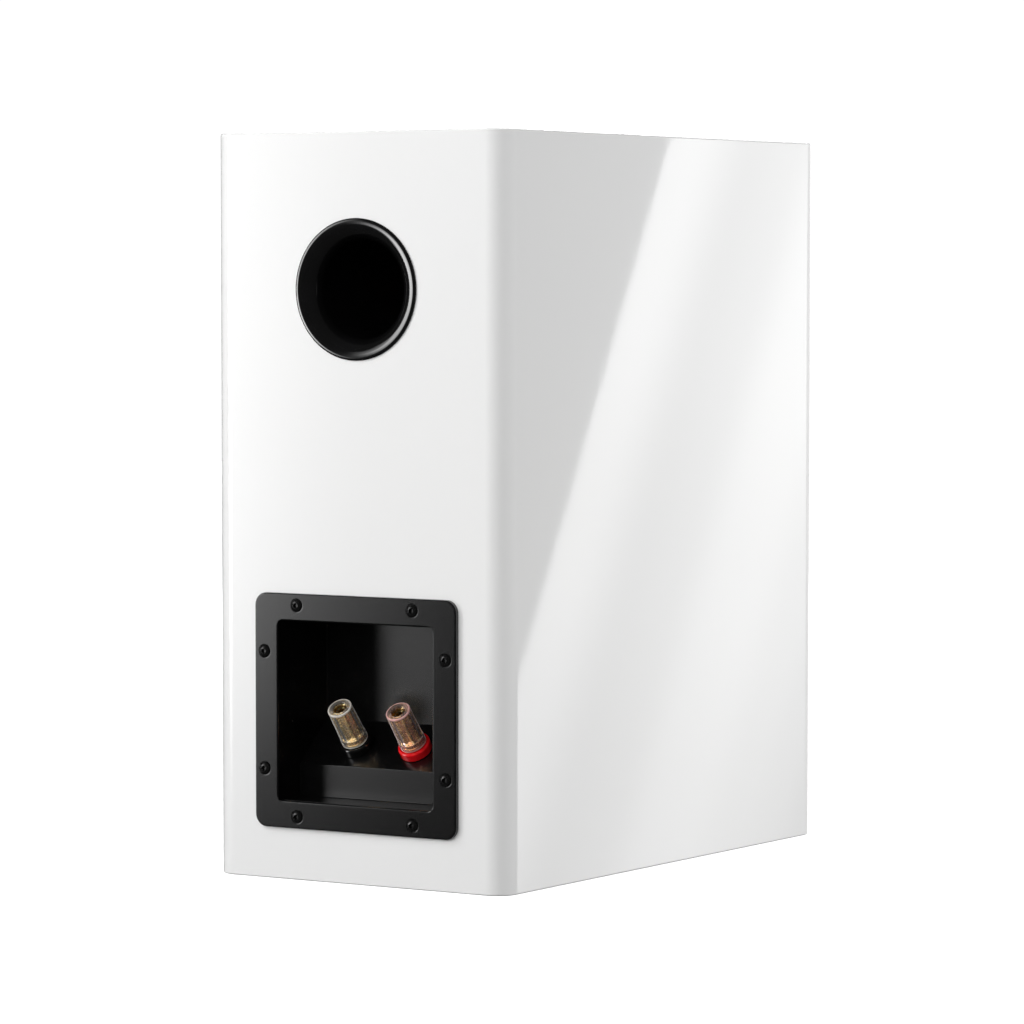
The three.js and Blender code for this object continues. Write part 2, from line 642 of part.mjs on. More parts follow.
const T = TWEETER_SEAT - 2 * GAP - GASKET_T; // back of the tweeter's faceplate
const TWEETER_FACE = T - FLANGE_T;
const TWEETER_MOTOR = { r: 36, plateT: 4, magnetT: 10, poleR: 12.6, holeR: 14.6, vent: 4 };
const MAGNET_Y = T + GAP + TWEETER_MOTOR.plateT + GAP;
const POLE_Y = MAGNET_Y + TWEETER_MOTOR.magnetT + GAP;

/** A profile turned about the tweeter's axis. */
const onTweeter = (profile, segments = 24) => turned(profile, 0, TWEETER.z, segments);

function tweeterFaceplate() {
  const hole = TWEETER.rollR + 0.7;
  return onTweeter([
    [hole, T], [hole, T - 2.4], [hole + 2, T - 2.4], [30, TWEETER_FACE],
    [TWEETER.faceR - 0.6, TWEETER_FACE], [TWEETER.faceR, TWEETER_FACE + 0.6], [TWEETER.faceR, T],
  ], 36);
}

/** The dome and the coil below it, in one. */
function tweeterDome() {
  const base = T - 1.4;
  const rise = 5.2;
  const t = 0.6;
  const coilEnd = T + 4.5;
  const outer = TWEETER.domeR - 0.1;
  const inner = TWEETER.domeR - 0.8;
  return onTweeter([
    ...domeArc(outer, base, rise), [outer, coilEnd], [inner, coilEnd],
    ...domeArc(inner, base, rise - t).reverse(),
  ]);
}

function tweeterSurround() {
  const inner = TWEETER.domeR + GAP;
  const mid = (inner + TWEETER.rollR) / 2;
  const half = (TWEETER.rollR - inner) / 2;
  const base = T - 0.4;
  const roll = (r, drop) => arc(mid, base - drop, r, 180, 360, 4);
  return onTweeter([
    ...roll(half, 0), [TWEETER.rollR, base + 0.3], ...roll(half - 0.5, -0.3).reverse(),
    [inner, base + 0.3],
  ]);
}

function tweeterBackPlate() {
  const { r, plateT, poleR, vent } = TWEETER_MOTOR;
  return onTweeter([
    [vent, T + 1], [poleR, T + 1], [poleR, POLE_Y], [r, POLE_Y], [r, POLE_Y + plateT],
    [vent, POLE_Y + plateT],
  ]);
}

function tweeterChamber() {
  const front = POLE_Y + TWEETER_MOTOR.plateT + GAP;
  const back = front + 24;
  const r = 31;
  return onTweeter([
    [0, back], [r - 3, back], [r, back - 3], [r, front], [r - 2, front], [r - 2, back - 4],
    [r - 4, back - 2], [0, back - 2],
  ]);
}

const motorRing = (outer, inner, y, t) => ring(outer, inner, y, y + t, 0, TWEETER.z, 28);

piece('tweeter_faceplate', tweeterFaceplate(), SATIN_BLACK);
piece('tweeter_gasket', motorRing(TWEETER.faceR - 1, TWEETER.holeR + 1, T + GAP, GASKET_T), FOAM);
piece('tweeter_surround', tweeterSurround(), SILK);
piece('tweeter_dome', tweeterDome(), SILK);
piece('tweeter_top_plate', motorRing(TWEETER_MOTOR.r, TWEETER_MOTOR.holeR, T + GAP,
  TWEETER_MOTOR.plateT), STEEL);
piece('tweeter_magnet', motorRing(TWEETER_MOTOR.r, TWEETER_MOTOR.holeR + 3, MAGNET_Y,
  TWEETER_MOTOR.magnetT), FERRITE);
piece('tweeter_back_plate', tweeterBackPlate(), STEEL);
piece('tweeter_rear_chamber', tweeterChamber(), SATIN_BLACK);

// ---------------------------------------------------------------- crossover

const XOVER_TOP = CAP_T + GAP + XOVER.stand + XOVER.t;
const ON_BOARD = XOVER_TOP + GAP;

/** A profile of [radius, height] pairs turned about an upright axis. */
function standing(profile, x, y, segments = 18) {
  const place = new THREE.Matrix4().makeRotationX(Math.PI / 2).setPosition(x, y, 0);
  return turned(profile, 0, 0, segments).transform(place.elements);
}

/** A cylinder lying along X on the board, its ends eased. */
function capacitor({ r, length, x, y }) {
  const h = length / 2;
  const profile = [[0, -h], [r - 1, -h], [r, 1 - h], [r, h - 1], [r - 1, h], [0, h]];
  const place = new THREE.Matrix4().makeRotationZ(Math.PI / 2).setPosition(x, y, ON_BOARD + r);
  return turned(profile, 0, 0, 16).transform(place.elements);
}

function crossoverBoard() {
  const low = CAP_T + GAP + XOVER.stand;
  const board = box([-XOVER.half, XOVER.y0, low], [XOVER.half, XOVER.y1, XOVER_TOP]);
  const foot = [
    [0, CAP_T + GAP], [XOVER.footR, CAP_T + GAP], [XOVER.footR, low + 0.5], [0, low + 0.5],
  ];
  const rows = [XOVER.y0 + XOVER.footInset, XOVER.y1 - XOVER.footInset];
  const feet = [-1, 1].flatMap((side) =>
    rows.map((y) => standing(foot, side * (XOVER.half - XOVER.footInset), y, 8)));
  return join(board, feet);
}

/** An air-cored coil: a bobbin's outline with an open middle. */
function inductor({ r, height, x, y }) {
  const low = ON_BOARD;
  const high = low + height;
  const cheek = 1.5; // of the bobbin
  const core = r * 0.4;
  return standing([
    [core, low], [r, low], [r, low + cheek], [r - 1.2, low + cheek],
    [r - 1.2, high - cheek], [r, high - cheek], [r, high], [core, high],
  ], x, y);
}

const resistor = ({ x0, x1, y0, y1, height }) => box([x0, y0, ON_BOARD], [x1, y1, ON_BOARD + height]);

piece('crossover_board', crossoverBoard(), BOARD);
piece('inductor_bass', inductor(INDUCTOR_BASS), COPPER);
piece('inductor_treble', inductor(INDUCTOR_TREBLE), COPPER);
piece('capacitor_large', capacitor(CAPACITOR_LARGE), FILM);
piece('capacitor_small', capacitor(CAPACITOR_SMALL), FILM);
piece('resistor', resistor(RESISTOR), CEMENT);

// ---------------------------------------------------------------- damping pads

function dampingPad(sign) {
  const outline = (extra) => plan(PAD.y0 - 1, PAD.y1 + 1, extra);
  const slab = upright(outline(-GAP), PAD.z0, PAD.z1);
  const inside = upright(outline(-GAP - PAD.t), PAD.z0 - 1, PAD.z1 + 1);
  const side = sign > 0 ? [0, FRONT_W] : [-FRONT_W, 0];
  return slab.subtract(inside)
    .intersect(box([side[0], PAD.y0, PAD.z0], [side[1], PAD.y1, PAD.z1]));
}

piece('damping_pad_left', dampingPad(-1), FELT);
piece('damping_pad_right', dampingPad(1), FELT);

group.updateMatrixWorld(true);
export default group;
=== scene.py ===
"""The looks of a two-way bookshelf speaker with a tapered gloss-white cabinet, seen from behind.

Shapes are worked out in millimetres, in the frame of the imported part, and become metres as each mesh is made.
"""
import json
import math

import bmesh
import bpy
from mathutils import Matrix, Vector
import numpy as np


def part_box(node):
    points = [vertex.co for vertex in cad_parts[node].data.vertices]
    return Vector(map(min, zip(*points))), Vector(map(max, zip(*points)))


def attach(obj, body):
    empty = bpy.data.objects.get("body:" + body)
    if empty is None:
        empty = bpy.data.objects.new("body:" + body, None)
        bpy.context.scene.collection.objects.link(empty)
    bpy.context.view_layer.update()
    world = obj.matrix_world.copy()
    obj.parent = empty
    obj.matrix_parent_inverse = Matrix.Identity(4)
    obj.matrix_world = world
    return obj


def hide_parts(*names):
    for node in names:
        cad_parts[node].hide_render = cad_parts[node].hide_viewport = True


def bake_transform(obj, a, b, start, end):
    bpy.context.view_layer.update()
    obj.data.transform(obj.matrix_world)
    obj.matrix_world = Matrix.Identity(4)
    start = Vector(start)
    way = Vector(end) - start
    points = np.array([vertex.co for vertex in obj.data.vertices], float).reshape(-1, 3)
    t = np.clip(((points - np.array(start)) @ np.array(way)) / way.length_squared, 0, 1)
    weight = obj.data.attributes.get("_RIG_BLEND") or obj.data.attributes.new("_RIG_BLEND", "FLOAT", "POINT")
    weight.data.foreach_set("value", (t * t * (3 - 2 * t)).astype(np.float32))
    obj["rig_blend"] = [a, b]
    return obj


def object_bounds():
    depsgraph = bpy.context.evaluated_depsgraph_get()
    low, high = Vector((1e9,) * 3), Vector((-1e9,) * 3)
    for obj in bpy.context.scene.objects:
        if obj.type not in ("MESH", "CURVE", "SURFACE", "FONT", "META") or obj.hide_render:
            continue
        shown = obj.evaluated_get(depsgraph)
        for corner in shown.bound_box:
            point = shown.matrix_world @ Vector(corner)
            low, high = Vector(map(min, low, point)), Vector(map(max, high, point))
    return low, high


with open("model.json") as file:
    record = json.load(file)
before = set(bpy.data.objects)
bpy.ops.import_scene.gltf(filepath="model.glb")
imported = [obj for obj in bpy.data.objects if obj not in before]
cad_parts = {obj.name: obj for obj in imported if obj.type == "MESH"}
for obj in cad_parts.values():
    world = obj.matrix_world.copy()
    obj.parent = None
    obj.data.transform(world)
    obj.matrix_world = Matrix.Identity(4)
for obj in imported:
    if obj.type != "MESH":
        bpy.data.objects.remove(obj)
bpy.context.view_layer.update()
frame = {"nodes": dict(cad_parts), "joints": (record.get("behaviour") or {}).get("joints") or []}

MM = 0.001
NODES = frame["nodes"]


def span(node):
    """A CAD node's lowest and highest corners, in millimetres."""
    low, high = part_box(node)
    return low / MM, high / MM


# ---------------- sizes, in millimetres

GAP = 0.3  # between neighbouring pieces
FRONT = span("front_baffle")[0].y
REAR = span("rear_panel")[1].y
HEIGHT = span("side_left")[1].z
FRONT_W = 216.8  # between the front corners before rounding
REAR_W = 173
EDGE_R = 12
EASE = 1  # the radius of the top and bottom edges

CUP_LOW, CUP_HIGH = span("terminal_cup")
PLATE_Z = (CUP_LOW.z + CUP_HIGH.z) / 2
PLATE_HALF = (CUP_HIGH.x - CUP_LOW.x) / 2
PLATE_FACE = CUP_HIGH.y
PLATE_BACK = REAR + GAP
PLATE_R = 6.5
POCKET_HALF = 46
POCKET_WALL = 2.8
POCKET_DEPTH = 43
LEDGE_DEPTH = 18
LEDGE_Z = 57.4  # the front edge of the slanted shelf
FLOOR_RISE = 0.3
SCREW_SPOTS = [(x, PLATE_Z + z) for x, z in (
    (-34.5, 54), (34.5, 54), (54, 30), (54, -30), (34.5, -54), (-34.5, -54), (-54, -30), (-54, 30),
)]
SCREW_SEAT = PLATE_FACE - 0.5

PORT_LOW, PORT_HIGH = span("port_tube")
PORT_Z = (PORT_LOW.z + PORT_HIGH.z) / 2
PORT_RIM = (PORT_HIGH.x - PORT_LOW.x) / 2
PORT_THROAT = 25
PORT_WALL = 2.4

BASKET_LOW, BASKET_HIGH = span("woofer_basket")
WOOFER_Z = (BASKET_LOW.z + BASKET_HIGH.z) / 2
WOOFER_R = (BASKET_HIGH.x - BASKET_LOW.x) / 2
WOOFER_FACE = BASKET_LOW.y
CONE_R = 62
NECK_R = 19.4
ROLL_R = 76

FACEPLATE_LOW, FACEPLATE_HIGH = span("tweeter_faceplate")
TWEETER_Z = (FACEPLATE_LOW.z + FACEPLATE_HIGH.z) / 2
TWEETER_R = (FACEPLATE_HIGH.x - FACEPLATE_LOW.x) / 2
TWEETER_FACE = FACEPLATE_LOW.y
TWEETER_BACK = FACEPLATE_HIGH.y
DOME_R = 14
TWEETER_ROLL_R = 18.5

JOINTS = {joint["name"]: joint for joint in frame["joints"]}


# ---------------- outlines

def evenly(low, high, steps):
    """Evenly spaced values from low to high, both included."""
    return [low + (high - low) * k / steps for k in range(steps + 1)]


def fillet(corners, steps=6, closed=True):
    """Rounds the corners given as (x, y, radius); corners given as (x, y) stay sharp."""
    points = []
    for i, corner in enumerate(corners):
        here = Vector(corner[:2])
        radius = corner[2] if len(corner) > 2 else 0
        if not radius or (not closed and i in (0, len(corners) - 1)):
            points.append(tuple(here))
            continue
        a = (Vector(corners[i - 1][:2]) - here).normalized()
        b = (Vector(corners[(i + 1) % len(corners)][:2]) - here).normalized()
        half = a.angle(b) / 2
        centre = here + (a + b).normalized() * radius / math.sin(half)
        start = here + a * radius / math.tan(half) - centre
        end = here + b * radius / math.tan(half) - centre
        sweep = start.angle(end)
        for t in evenly(0, 1, steps):
            spoke = (start * math.sin((1 - t) * sweep) + end * math.sin(t * sweep)) / math.sin(sweep)
            points.append(tuple(centre + spoke))
    return points


def offset(corners, distance):
    """A closed outline of (x, y, radius) corners moved inward by distance; anticlockwise outlines only."""
    least_radius = 0.05
    moved = []
    count = len(corners)
    for i, (x, y, radius) in enumerate(corners):
        here = Vector((x, y))
        into = (here - Vector(corners[i - 1][:2])).normalized()
        out = (Vector(corners[(i + 1) % count][:2]) - here).normalized()
        n1, n2 = Vector((-into.y, into.x)), Vector((-out.y, out.x))
        bisector = (n1 + n2).normalized()
        point = here + bisector * distance / bisector.dot(n1)
        convex = into.x * out.y - into.y * out.x > 0
        grown = radius - distance if convex else radius + distance
        moved.append((point.x, point.y, max(grown, least_radius)))
    return moved


def square_ring(half, radius, y):
    """A square with rounded corners round the middle of the terminal plate, at depth y."""
    low, high = PLATE_Z - half, PLATE_Z + half
    corners = [(-half, low, radius), (half, low, radius), (half, high, radius), (-half, high, radius)]
    return [(x, y, z) for x, z in fillet(corners, 10)]


# ---------------- meshes

def add_object(name, data):
    obj = bpy.data.objects.new(name, data)
    bpy.context.scene.collection.objects.link(obj)
    return obj


def make(name, verts, faces):
    """A mesh object, still in millimetres, with its faces turned outward."""
    mesh = bpy.data.meshes.new(name)
    mesh.from_pydata([tuple(v) for v in verts], [], faces)
    shape = bmesh.new()
    shape.from_mesh(mesh)
    bmesh.ops.remove_doubles(shape, verts=shape.verts, dist=1e-4)
    bmesh.ops.recalc_face_normals(shape, faces=shape.faces)
    shape.to_mesh(mesh)
    shape.free()
    return add_object(name, mesh)


def loft(name, rings):
    """A closed solid through rings with the same number of points, flat at both ends."""
    count = len(rings[0])
    verts = [point for ring in rings for point in ring]
    faces = [list(range(count)), [len(verts) - 1 - i for i in range(count)]]
    for k in range(len(rings) - 1):
        a, b = k * count, (k + 1) * count
        for i in range(count):
            j = (i + 1) % count
            faces.append([a + i, a + j, b + j, b + i])
    return make(name, verts, faces)


def lathe(name, profile, segments=96, x=0.0, z=0.0, wobble=None):
    """A closed profile of (radius, y) pairs turned about the line along Y through (x, z).

    wobble(radius, y, angle) may return another radius, for flutes and threads."""
    verts, rings = [], []
    for r, y in profile:
        if r < 1e-6:
            rings.append([len(verts)])
            verts.append((x, y, z))
            continue
        rings.append(list(range(len(verts), len(verts) + segments)))
        for i in range(segments):
            angle = 2 * math.pi * i / segments
            radius = wobble(r, y, angle) if wobble else r
            verts.append((x + radius * math.cos(angle), y, z + radius * math.sin(angle)))
    faces = []
    for a, b in zip(rings, rings[1:] + rings[:1]):
        if len(a) == len(b) == 1:
            continue
        for i in range(segments):
            j = (i + 1) % segments
            corner = [a[i % len(a)], a[j % len(a)], b[j % len(b)], b[i % len(b)]]
            faces.append(list(dict.fromkeys(corner)))
    return make(name, verts, faces)


def combine(obj, others, operation="DIFFERENCE"):
    """Cuts the other objects out of obj, or joins them to it, and deletes them."""
    for other in others:
        modifier = obj.modifiers.new("combine", "BOOLEAN")
        modifier.operation = operation
        modifier.solver = "EXACT"
        modifier.object = other
    graph = bpy.context.evaluated_depsgraph_get()
    mesh = bpy.data.meshes.new_from_object(obj.evaluated_get(graph))
    obj.modifiers.clear()
    obj.data = mesh
    for other in others:
        bpy.data.objects.remove(other)
    return obj


def placed(obj, matrix):
    """Moves a shape's mesh by a matrix."""
    obj.data.transform(matrix)
    return obj


def finish_piece(obj, body, look, replaced=(), sharp=32.0):
    """Shrinks a piece to metres, shades it, gives it its look's material and fixes it to its body.

    body is None for a piece that bend_between will fix to two bodies."""
    obj.data.transform(Matrix.Scale(MM, 4))
    obj.data.materials.clear()
    obj.data.materials.append(look.material)
    obj.data.shade_smooth()
    obj.data.set_sharp_from_angle(angle=math.radians(sharp))
    weighted = obj.modifiers.new("normals", "WEIGHTED_NORMAL")
    weighted.keep_sharp = True
    if body:
        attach(obj, body)
    if replaced:
        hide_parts(*replaced)
    return obj


def bend_between(obj, moving, z, outer, inner):
    """Lets a ring about the line along Y at height z bend: inside it follows moving, outside it stays."""
    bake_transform(obj, "cabinet", moving, start=(0, 0, z * MM), end=(0, -MM, z * MM))
    weights = obj.data.attributes["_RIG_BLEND"].data
    for vertex in obj.data.vertices:
        radius = math.hypot(vertex.co.x, vertex.co.z - z * MM) / MM
        t = min(max((outer - radius) / (outer - inner), 0), 1)
        weights[vertex.index].value = t * t * (3 - 2 * t)
    return obj


# ---------------- materials

def set_inputs(node, **values):
    """Sets a node's inputs by name, with _ for a space."""
    for socket, value in values.items():
        node.inputs[socket.replace("_", " ")].default_value = value
    return node


class Look:
    """A procedural material that is built node by node, and the record's slot that it belongs to."""

    def __init__(self, name, slot, color, roughness, metallic=0.0, **sockets):
        self.slot = slot
        self.material = bpy.data.materials.new(name)
        self.material.use_nodes = True
        self.nodes = self.material.node_tree.nodes
        self.links = self.material.node_tree.links
        self.shader = self.nodes["Principled BSDF"]
        set_inputs(self.shader, Base_Color=(*color, 1), Roughness=roughness, Metallic=metallic, **sockets)
        self.color = color
        self.place = self.nodes.new("ShaderNodeTexCoord").outputs["Object"]
        self.height = None

    def along(self, axis):
        """The distance along one axis of the frame, in metres."""
        split = self.nodes.new("ShaderNodeSeparateXYZ")
        self.links.new(self.place, split.inputs["Vector"])
        return split.outputs[axis]

    def stretched(self, scale, turn=(0, 0, 0), move=(0, 0, 0)):
        mapping = set_inputs(self.nodes.new("ShaderNodeMapping"), Scale=scale, Rotation=turn, Location=move)
        self.links.new(self.place, mapping.inputs["Vector"])
        return mapping.outputs["Vector"]

    def noise(self, per_metre, detail=3.0, rough=0.5, vector=None):
        noise = self.nodes.new("ShaderNodeTexNoise")
        set_inputs(noise, Scale=per_metre, Detail=detail, Roughness=rough)
        self.links.new(vector or self.place, noise.inputs["Vector"])
        return noise.outputs["Fac"]

    def wave(self, per_metre, vector, direction, profile="SIN", distortion=0.0, kind="BANDS"):
        wave = set_inputs(self.nodes.new("ShaderNodeTexWave"), Scale=per_metre, Distortion=distortion)
        wave.wave_type = kind
        wave.wave_profile = profile
        wave.bands_direction = wave.rings_direction = direction
        self.links.new(vector, wave.inputs["Vector"])
        return wave.outputs["Fac"]

    def cells(self, per_metre, feature="F1"):
        cells = self.nodes.new("ShaderNodeTexVoronoi")
        cells.feature = feature
        set_inputs(cells, Scale=per_metre)
        self.links.new(self.place, cells.inputs["Vector"])
        return cells.outputs["Distance"]

    def ranged(self, value, low, high, start=0.0, end=1.0):
        remap = set_inputs(self.nodes.new("ShaderNodeMapRange"),
                           From_Min=start, From_Max=end, To_Min=low, To_Max=high)
        self.links.new(value, remap.inputs["Value"])
        return remap.outputs["Result"]

    def combined(self, a, b, operation="MAXIMUM"):
        math_node = self.nodes.new("ShaderNodeMath")
        math_node.operation = operation
        self.links.new(a, math_node.inputs[0])
        self.links.new(b, math_node.inputs[1])
        return math_node.outputs[0]

    def vary_color(self, value, other, start=0.3, end=0.7):
        ramp = self.nodes.new("ShaderNodeValToRGB")
        for element, position, color in zip(ramp.color_ramp.elements, (start, end), (self.color, other)):
            element.position = position
            element.color = (*color, 1)
        self.links.new(value, ramp.inputs["Fac"])
        self.links.new(ramp.outputs["Color"], self.shader.inputs["Base Color"])
        return self

    def vary_roughness(self, value, low, high):
        self.links.new(self.ranged(value, low, high), self.shader.inputs["Roughness"])
        return self

    def bump(self, value, depth, strength):
        """Adds a layer of height on top of the bumps so far."""
        bump = set_inputs(self.nodes.new("ShaderNodeBump"), Strength=strength, Distance=depth)
        self.links.new(value, bump.inputs["Height"])
        if self.height:
            self.links.new(self.height, bump.inputs["Normal"])
        self.height = bump.outputs["Normal"]
        self.links.new(self.height, self.shader.inputs["Normal"])
        return self


def grained(name, slot, color, other, roughness, tint, wear, grain, **sockets):
    """A look with noise in three layers: its colour, its roughness and its surface.

    Each layer starts with (per metre, detail). Then wear has its range, and grain its depth and strength."""
    look = Look(name, slot, color, roughness, **sockets)
    look.vary_color(look.noise(*tint), other)
    look.vary_roughness(look.noise(*wear[:2]), *wear[2:])
    return look.bump(look.noise(*grain[:2]), *grain[2:])


def satin_plastic_look():
    look = Look("satin_black_plastic", "satin_black", (0.0022, 0.0022, 0.0023), 0.2, Specular_IOR_Level=0.72)
    look.vary_color(look.noise(120, 4), (0.0036, 0.0036, 0.0038))
    grain = look.ranged(look.noise(900, 3), 0.175, 0.225)
    # only the flange of the terminal plate is fully polished
    inside = look.ranged(look.along("Y"), 0.05, 0.0, (REAR - 6) * MM, REAR * MM)
    look.links.new(look.combined(grain, inside, "ADD"), look.shader.inputs["Roughness"])
    return look.bump(look.noise(2600, 3, 0.6), 0.00003, 0.25)


def foam_look():
    look = Look("black_foam", "foam", (0.02, 0.02, 0.02), 0.95)
    look.vary_color(look.cells(1500), (0.05, 0.05, 0.05))
    return look.bump(look.cells(1500), 0.0003, 0.8)


def clear_look(name, color):
    """Clear plastic that turns pale and opaque towards its edges as seen: a painted highlight standing in for
    the bright edge lines of a clear sleeve.
    """
    look = Look(name, "clear", color, 0.02, IOR=1.5, Transmission_Weight=0.95, Coat_Weight=0.5,
                Coat_Roughness=0.03, Sheen_Weight=1.0, Sheen_Roughness=0.3, Sheen_Tint=(*color, 1))
    edge = set_inputs(look.nodes.new("ShaderNodeLayerWeight"), Blend=0.5)
    # painted highlight: transmission falls at grazing angles, so the silhouette turns pale
    transmission_with_painted_edge_highlight = look.ranged(edge.outputs["Facing"], 0.93, 0.1, 0.6, 0.95)
    look.links.new(transmission_with_painted_edge_highlight, look.shader.inputs["Transmission Weight"])
    look.vary_roughness(look.noise(600, 3), 0.0, 0.05)
    return look.bump(look.noise(350, 2), 0.00003, 0.2)


def rim_look(name, color, other):
    """The bevels at the two ends of a clear cap, pale and nearly opaque: painted highlights for the light that
    gathers at the ends of the clear plastic.
    """
    return grained(name, "clear", color, other, 0.18,
                   (500, 4), (1200, 3, 0.12, 0.28), (1500, 3, 0.00003, 0.3),
                   IOR=1.5, Transmission_Weight=0.25, Coat_Weight=1.0, Coat_Roughness=0.04,
                   Sheen_Weight=0.6, Sheen_Roughness=0.3)


def cast_look():
    look = Look("black_painted_casting", "cast", (0.013, 0.013, 0.014), 0.42)
    look.vary_color(look.noise(300, 4), (0.022, 0.022, 0.024))
    look.vary_roughness(look.noise(1200, 3), 0.36, 0.55)
    return look.bump(look.cells(1800, "SMOOTH_F1"), 0.00008, 0.5)


def cone_look():
    look = Look("black_polymer_cone", "cone", (0.01, 0.01, 0.011), 0.4, Coat_Weight=0.15, Coat_Roughness=0.3)
    axis = look.stretched((1, 0.02, 1), move=(0, 0, -WOOFER_Z * MM))
    look.vary_color(look.noise(90, 4), (0.018, 0.018, 0.02))
    look.vary_roughness(look.noise(500, 4), 0.32, 0.5)
    look.bump(look.wave(160, axis, "Y", kind="RINGS"), 0.00006, 0.5)
    return look.bump(look.noise(1800, 3), 0.00004, 0.4)


def weave(look, per_metre, depth):
    """Two crossed sets of threads, for cloth."""
    across = look.wave(per_metre, look.place, "X")
    along = look.wave(per_metre, look.place, "Z")
    return look.bump(look.combined(across, along), depth, 0.7), look.combined(across, along, "MULTIPLY")


def silk_look():
    look = Look("coated_dome_cloth", "silk", (0.011, 0.011, 0.012), 0.6, Sheen_Weight=0.25)
    look, threads = weave(look, 480, 0.00008)
    look.vary_color(threads, (0.03, 0.03, 0.033), 0.1, 0.9)
    return look


def spider_look():
    look = Look("resin_cloth", "fabric", (0.24, 0.14, 0.045), 0.8, Sheen_Weight=0.2)
    look, threads = weave(look, 420, 0.0002)
    look.vary_color(threads, (0.45, 0.3, 0.12), 0.1, 0.9)
    return look


def felt_look():
    look = Look("grey_felt", "felt", (0.2, 0.2, 0.19), 0.98, Sheen_Weight=0.3)
    fibres = look.noise(900, 8, 0.75, look.stretched((1, 3, 1), (0.3, 0.5, 0.2)))
    look.vary_color(fibres, (0.42, 0.42, 0.4))
    return look.bump(fibres, 0.0008, 0.9)


def fibreboard_look():
    look = Look("fibreboard", "fibreboard", (0.36, 0.23, 0.12), 0.88)
    fibres = look.noise(500, 6, 0.7, look.stretched((1, 1, 4)))
    look.vary_color(fibres, (0.55, 0.39, 0.22))
    look.vary_roughness(look.noise(200, 4), 0.8, 0.95)
    return look.bump(fibres, 0.00015, 0.6)


def copper_look():
    look = Look("enamelled_copper_wire", "copper", (0.62, 0.24, 0.09), 0.28, 0.95)
    turns = look.wave(210, look.place, "Z")
    look.vary_color(look.noise(300, 4), (0.45, 0.15, 0.05))
    look.vary_roughness(look.noise(600, 3), 0.2, 0.4)
    return look.bump(turns, 0.0005, 0.9)


def coil_look():
    look = Look("voice_coil_wire", "copper", (0.6, 0.25, 0.1), 0.3, 0.9)
    turns = look.wave(800, look.place, "Y")
    look.vary_color(turns, (0.4, 0.14, 0.05))
    return look.bump(turns, 0.0002, 0.9)


def steel_look():
    look = Look("zinc_plated_steel", "steel", (0.5, 0.51, 0.53), 0.35, 0.95)
    brushed = look.noise(700, 5, 0.6, look.stretched((0.15, 1, 1)))
    look.vary_color(look.noise(40, 4), (0.6, 0.6, 0.6))
    look.vary_roughness(brushed, 0.25, 0.5)
    return look.bump(brushed, 0.00004, 0.4)


def ferrite_look():
    look = Look("ferrite", "ferrite", (0.03, 0.03, 0.032), 0.78)
    look.vary_color(look.noise(1500, 5), (0.055, 0.055, 0.058))
    return look.bump(look.noise(2200, 5, 0.7), 0.0001, 0.6)


def board_look():
    look = Look("circuit_board", "board", (0.012, 0.09, 0.035), 0.35)
    tracks = look.wave(28, look.place, "X", "SAW", 3.0)
    look.vary_color(tracks, (0.02, 0.16, 0.065), 0.47, 0.53)
    look.vary_roughness(look.noise(500, 3), 0.3, 0.45)
    return look.bump(tracks, 0.00005, 0.5)


def cement_look():
    look = Look("resistor_cement", "cement", (0.55, 0.53, 0.47), 0.92)
    look.vary_color(look.noise(900, 6, 0.7), (0.74, 0.72, 0.66))
    return look.bump(look.noise(1400, 6, 0.7), 0.0002, 0.7)


LACQUER = grained("white_gloss_lacquer", "lacquer", (0.88, 0.88, 0.875), (0.872, 0.873, 0.872), 0.03,
                  (6, 2), (90, 2, 0.02, 0.045), (160, 1, 0.00002, 0.15), Specular_IOR_Level=0.5)
GLOSS = grained("polished_black_plastic", "gloss_black", (0.003, 0.003, 0.003), (0.0045, 0.0045, 0.0048), 0.1,
                (60, 3), (400, 3, 0.07, 0.13), (500, 2, 0.00002, 0.15), Specular_IOR_Level=1.0)
BLACK_STEEL = grained("black_oxide_steel", "black_steel", (0.003, 0.003, 0.0032), (0.006, 0.006, 0.0058),
                      0.25, (700, 3), (1500, 3, 0.2, 0.32), (4000, 2, 0.00002, 0.3), Specular_IOR_Level=0.8)
GOLD = grained("gold_plate", "gold", (0.92, 0.66, 0.3), (0.98, 0.78, 0.42), 0.25,
               (250, 3), (900, 4, 0.18, 0.34), (2500, 2, 0.00002, 0.25), metallic=1.0)
RED = grained("red_polycarbonate", "red", (0.66, 0.004, 0.008), (0.8, 0.012, 0.018), 0.16,
              (300, 3), (700, 3, 0.1, 0.2), (500, 2, 0.00002, 0.2),
              Coat_Weight=0.3, Subsurface_Weight=0.25, Subsurface_Scale=0.002)
RUBBER = grained("surround_rubber", "rubber", (0.013, 0.013, 0.013), (0.022, 0.022, 0.0225), 0.62,
                 (150, 4), (700, 3, 0.52, 0.72), (1600, 4, 0.00006, 0.5))
FILM = grained("capacitor_wrap", "film", (0.02, 0.055, 0.24), (0.03, 0.085, 0.34), 0.3,
               (120, 5), (400, 3, 0.22, 0.42), (500, 4, 0.0001, 0.4))
CLEAR = {
    "black": clear_look("clear_polycarbonate", (0.98, 0.94, 0.88)),
    # the red post's sleeve is tinted pink: a painted reflection of the red collar seen through the clear
    # plastic
    "red": clear_look("clear_polycarbonate_painted_red_reflection", (1.0, 0.8, 0.76)),
}
RIMS = {
    # pale rims are painted highlights; the red post's pink rims also carry a painted reflection of its red
    # collar
    "black": rim_look("rim_painted_highlight", (0.8, 0.74, 0.66), (0.9, 0.86, 0.8)),
    "red": rim_look("rim_painted_red_highlight", (0.85, 0.42, 0.38), (0.95, 0.62, 0.58)),
}
FIBREBOARD, SATIN, FOAM = fibreboard_look(), satin_plastic_look(), foam_look()
CAST, CONE, SILK, SPIDER = cast_look(), cone_look(), silk_look(), spider_look()
FELT, COPPER, COIL, STEEL = felt_look(), copper_look(), coil_look(), steel_look()
FERRITE, BOARD, CEMENT = ferrite_look(), board_look(), cement_look()

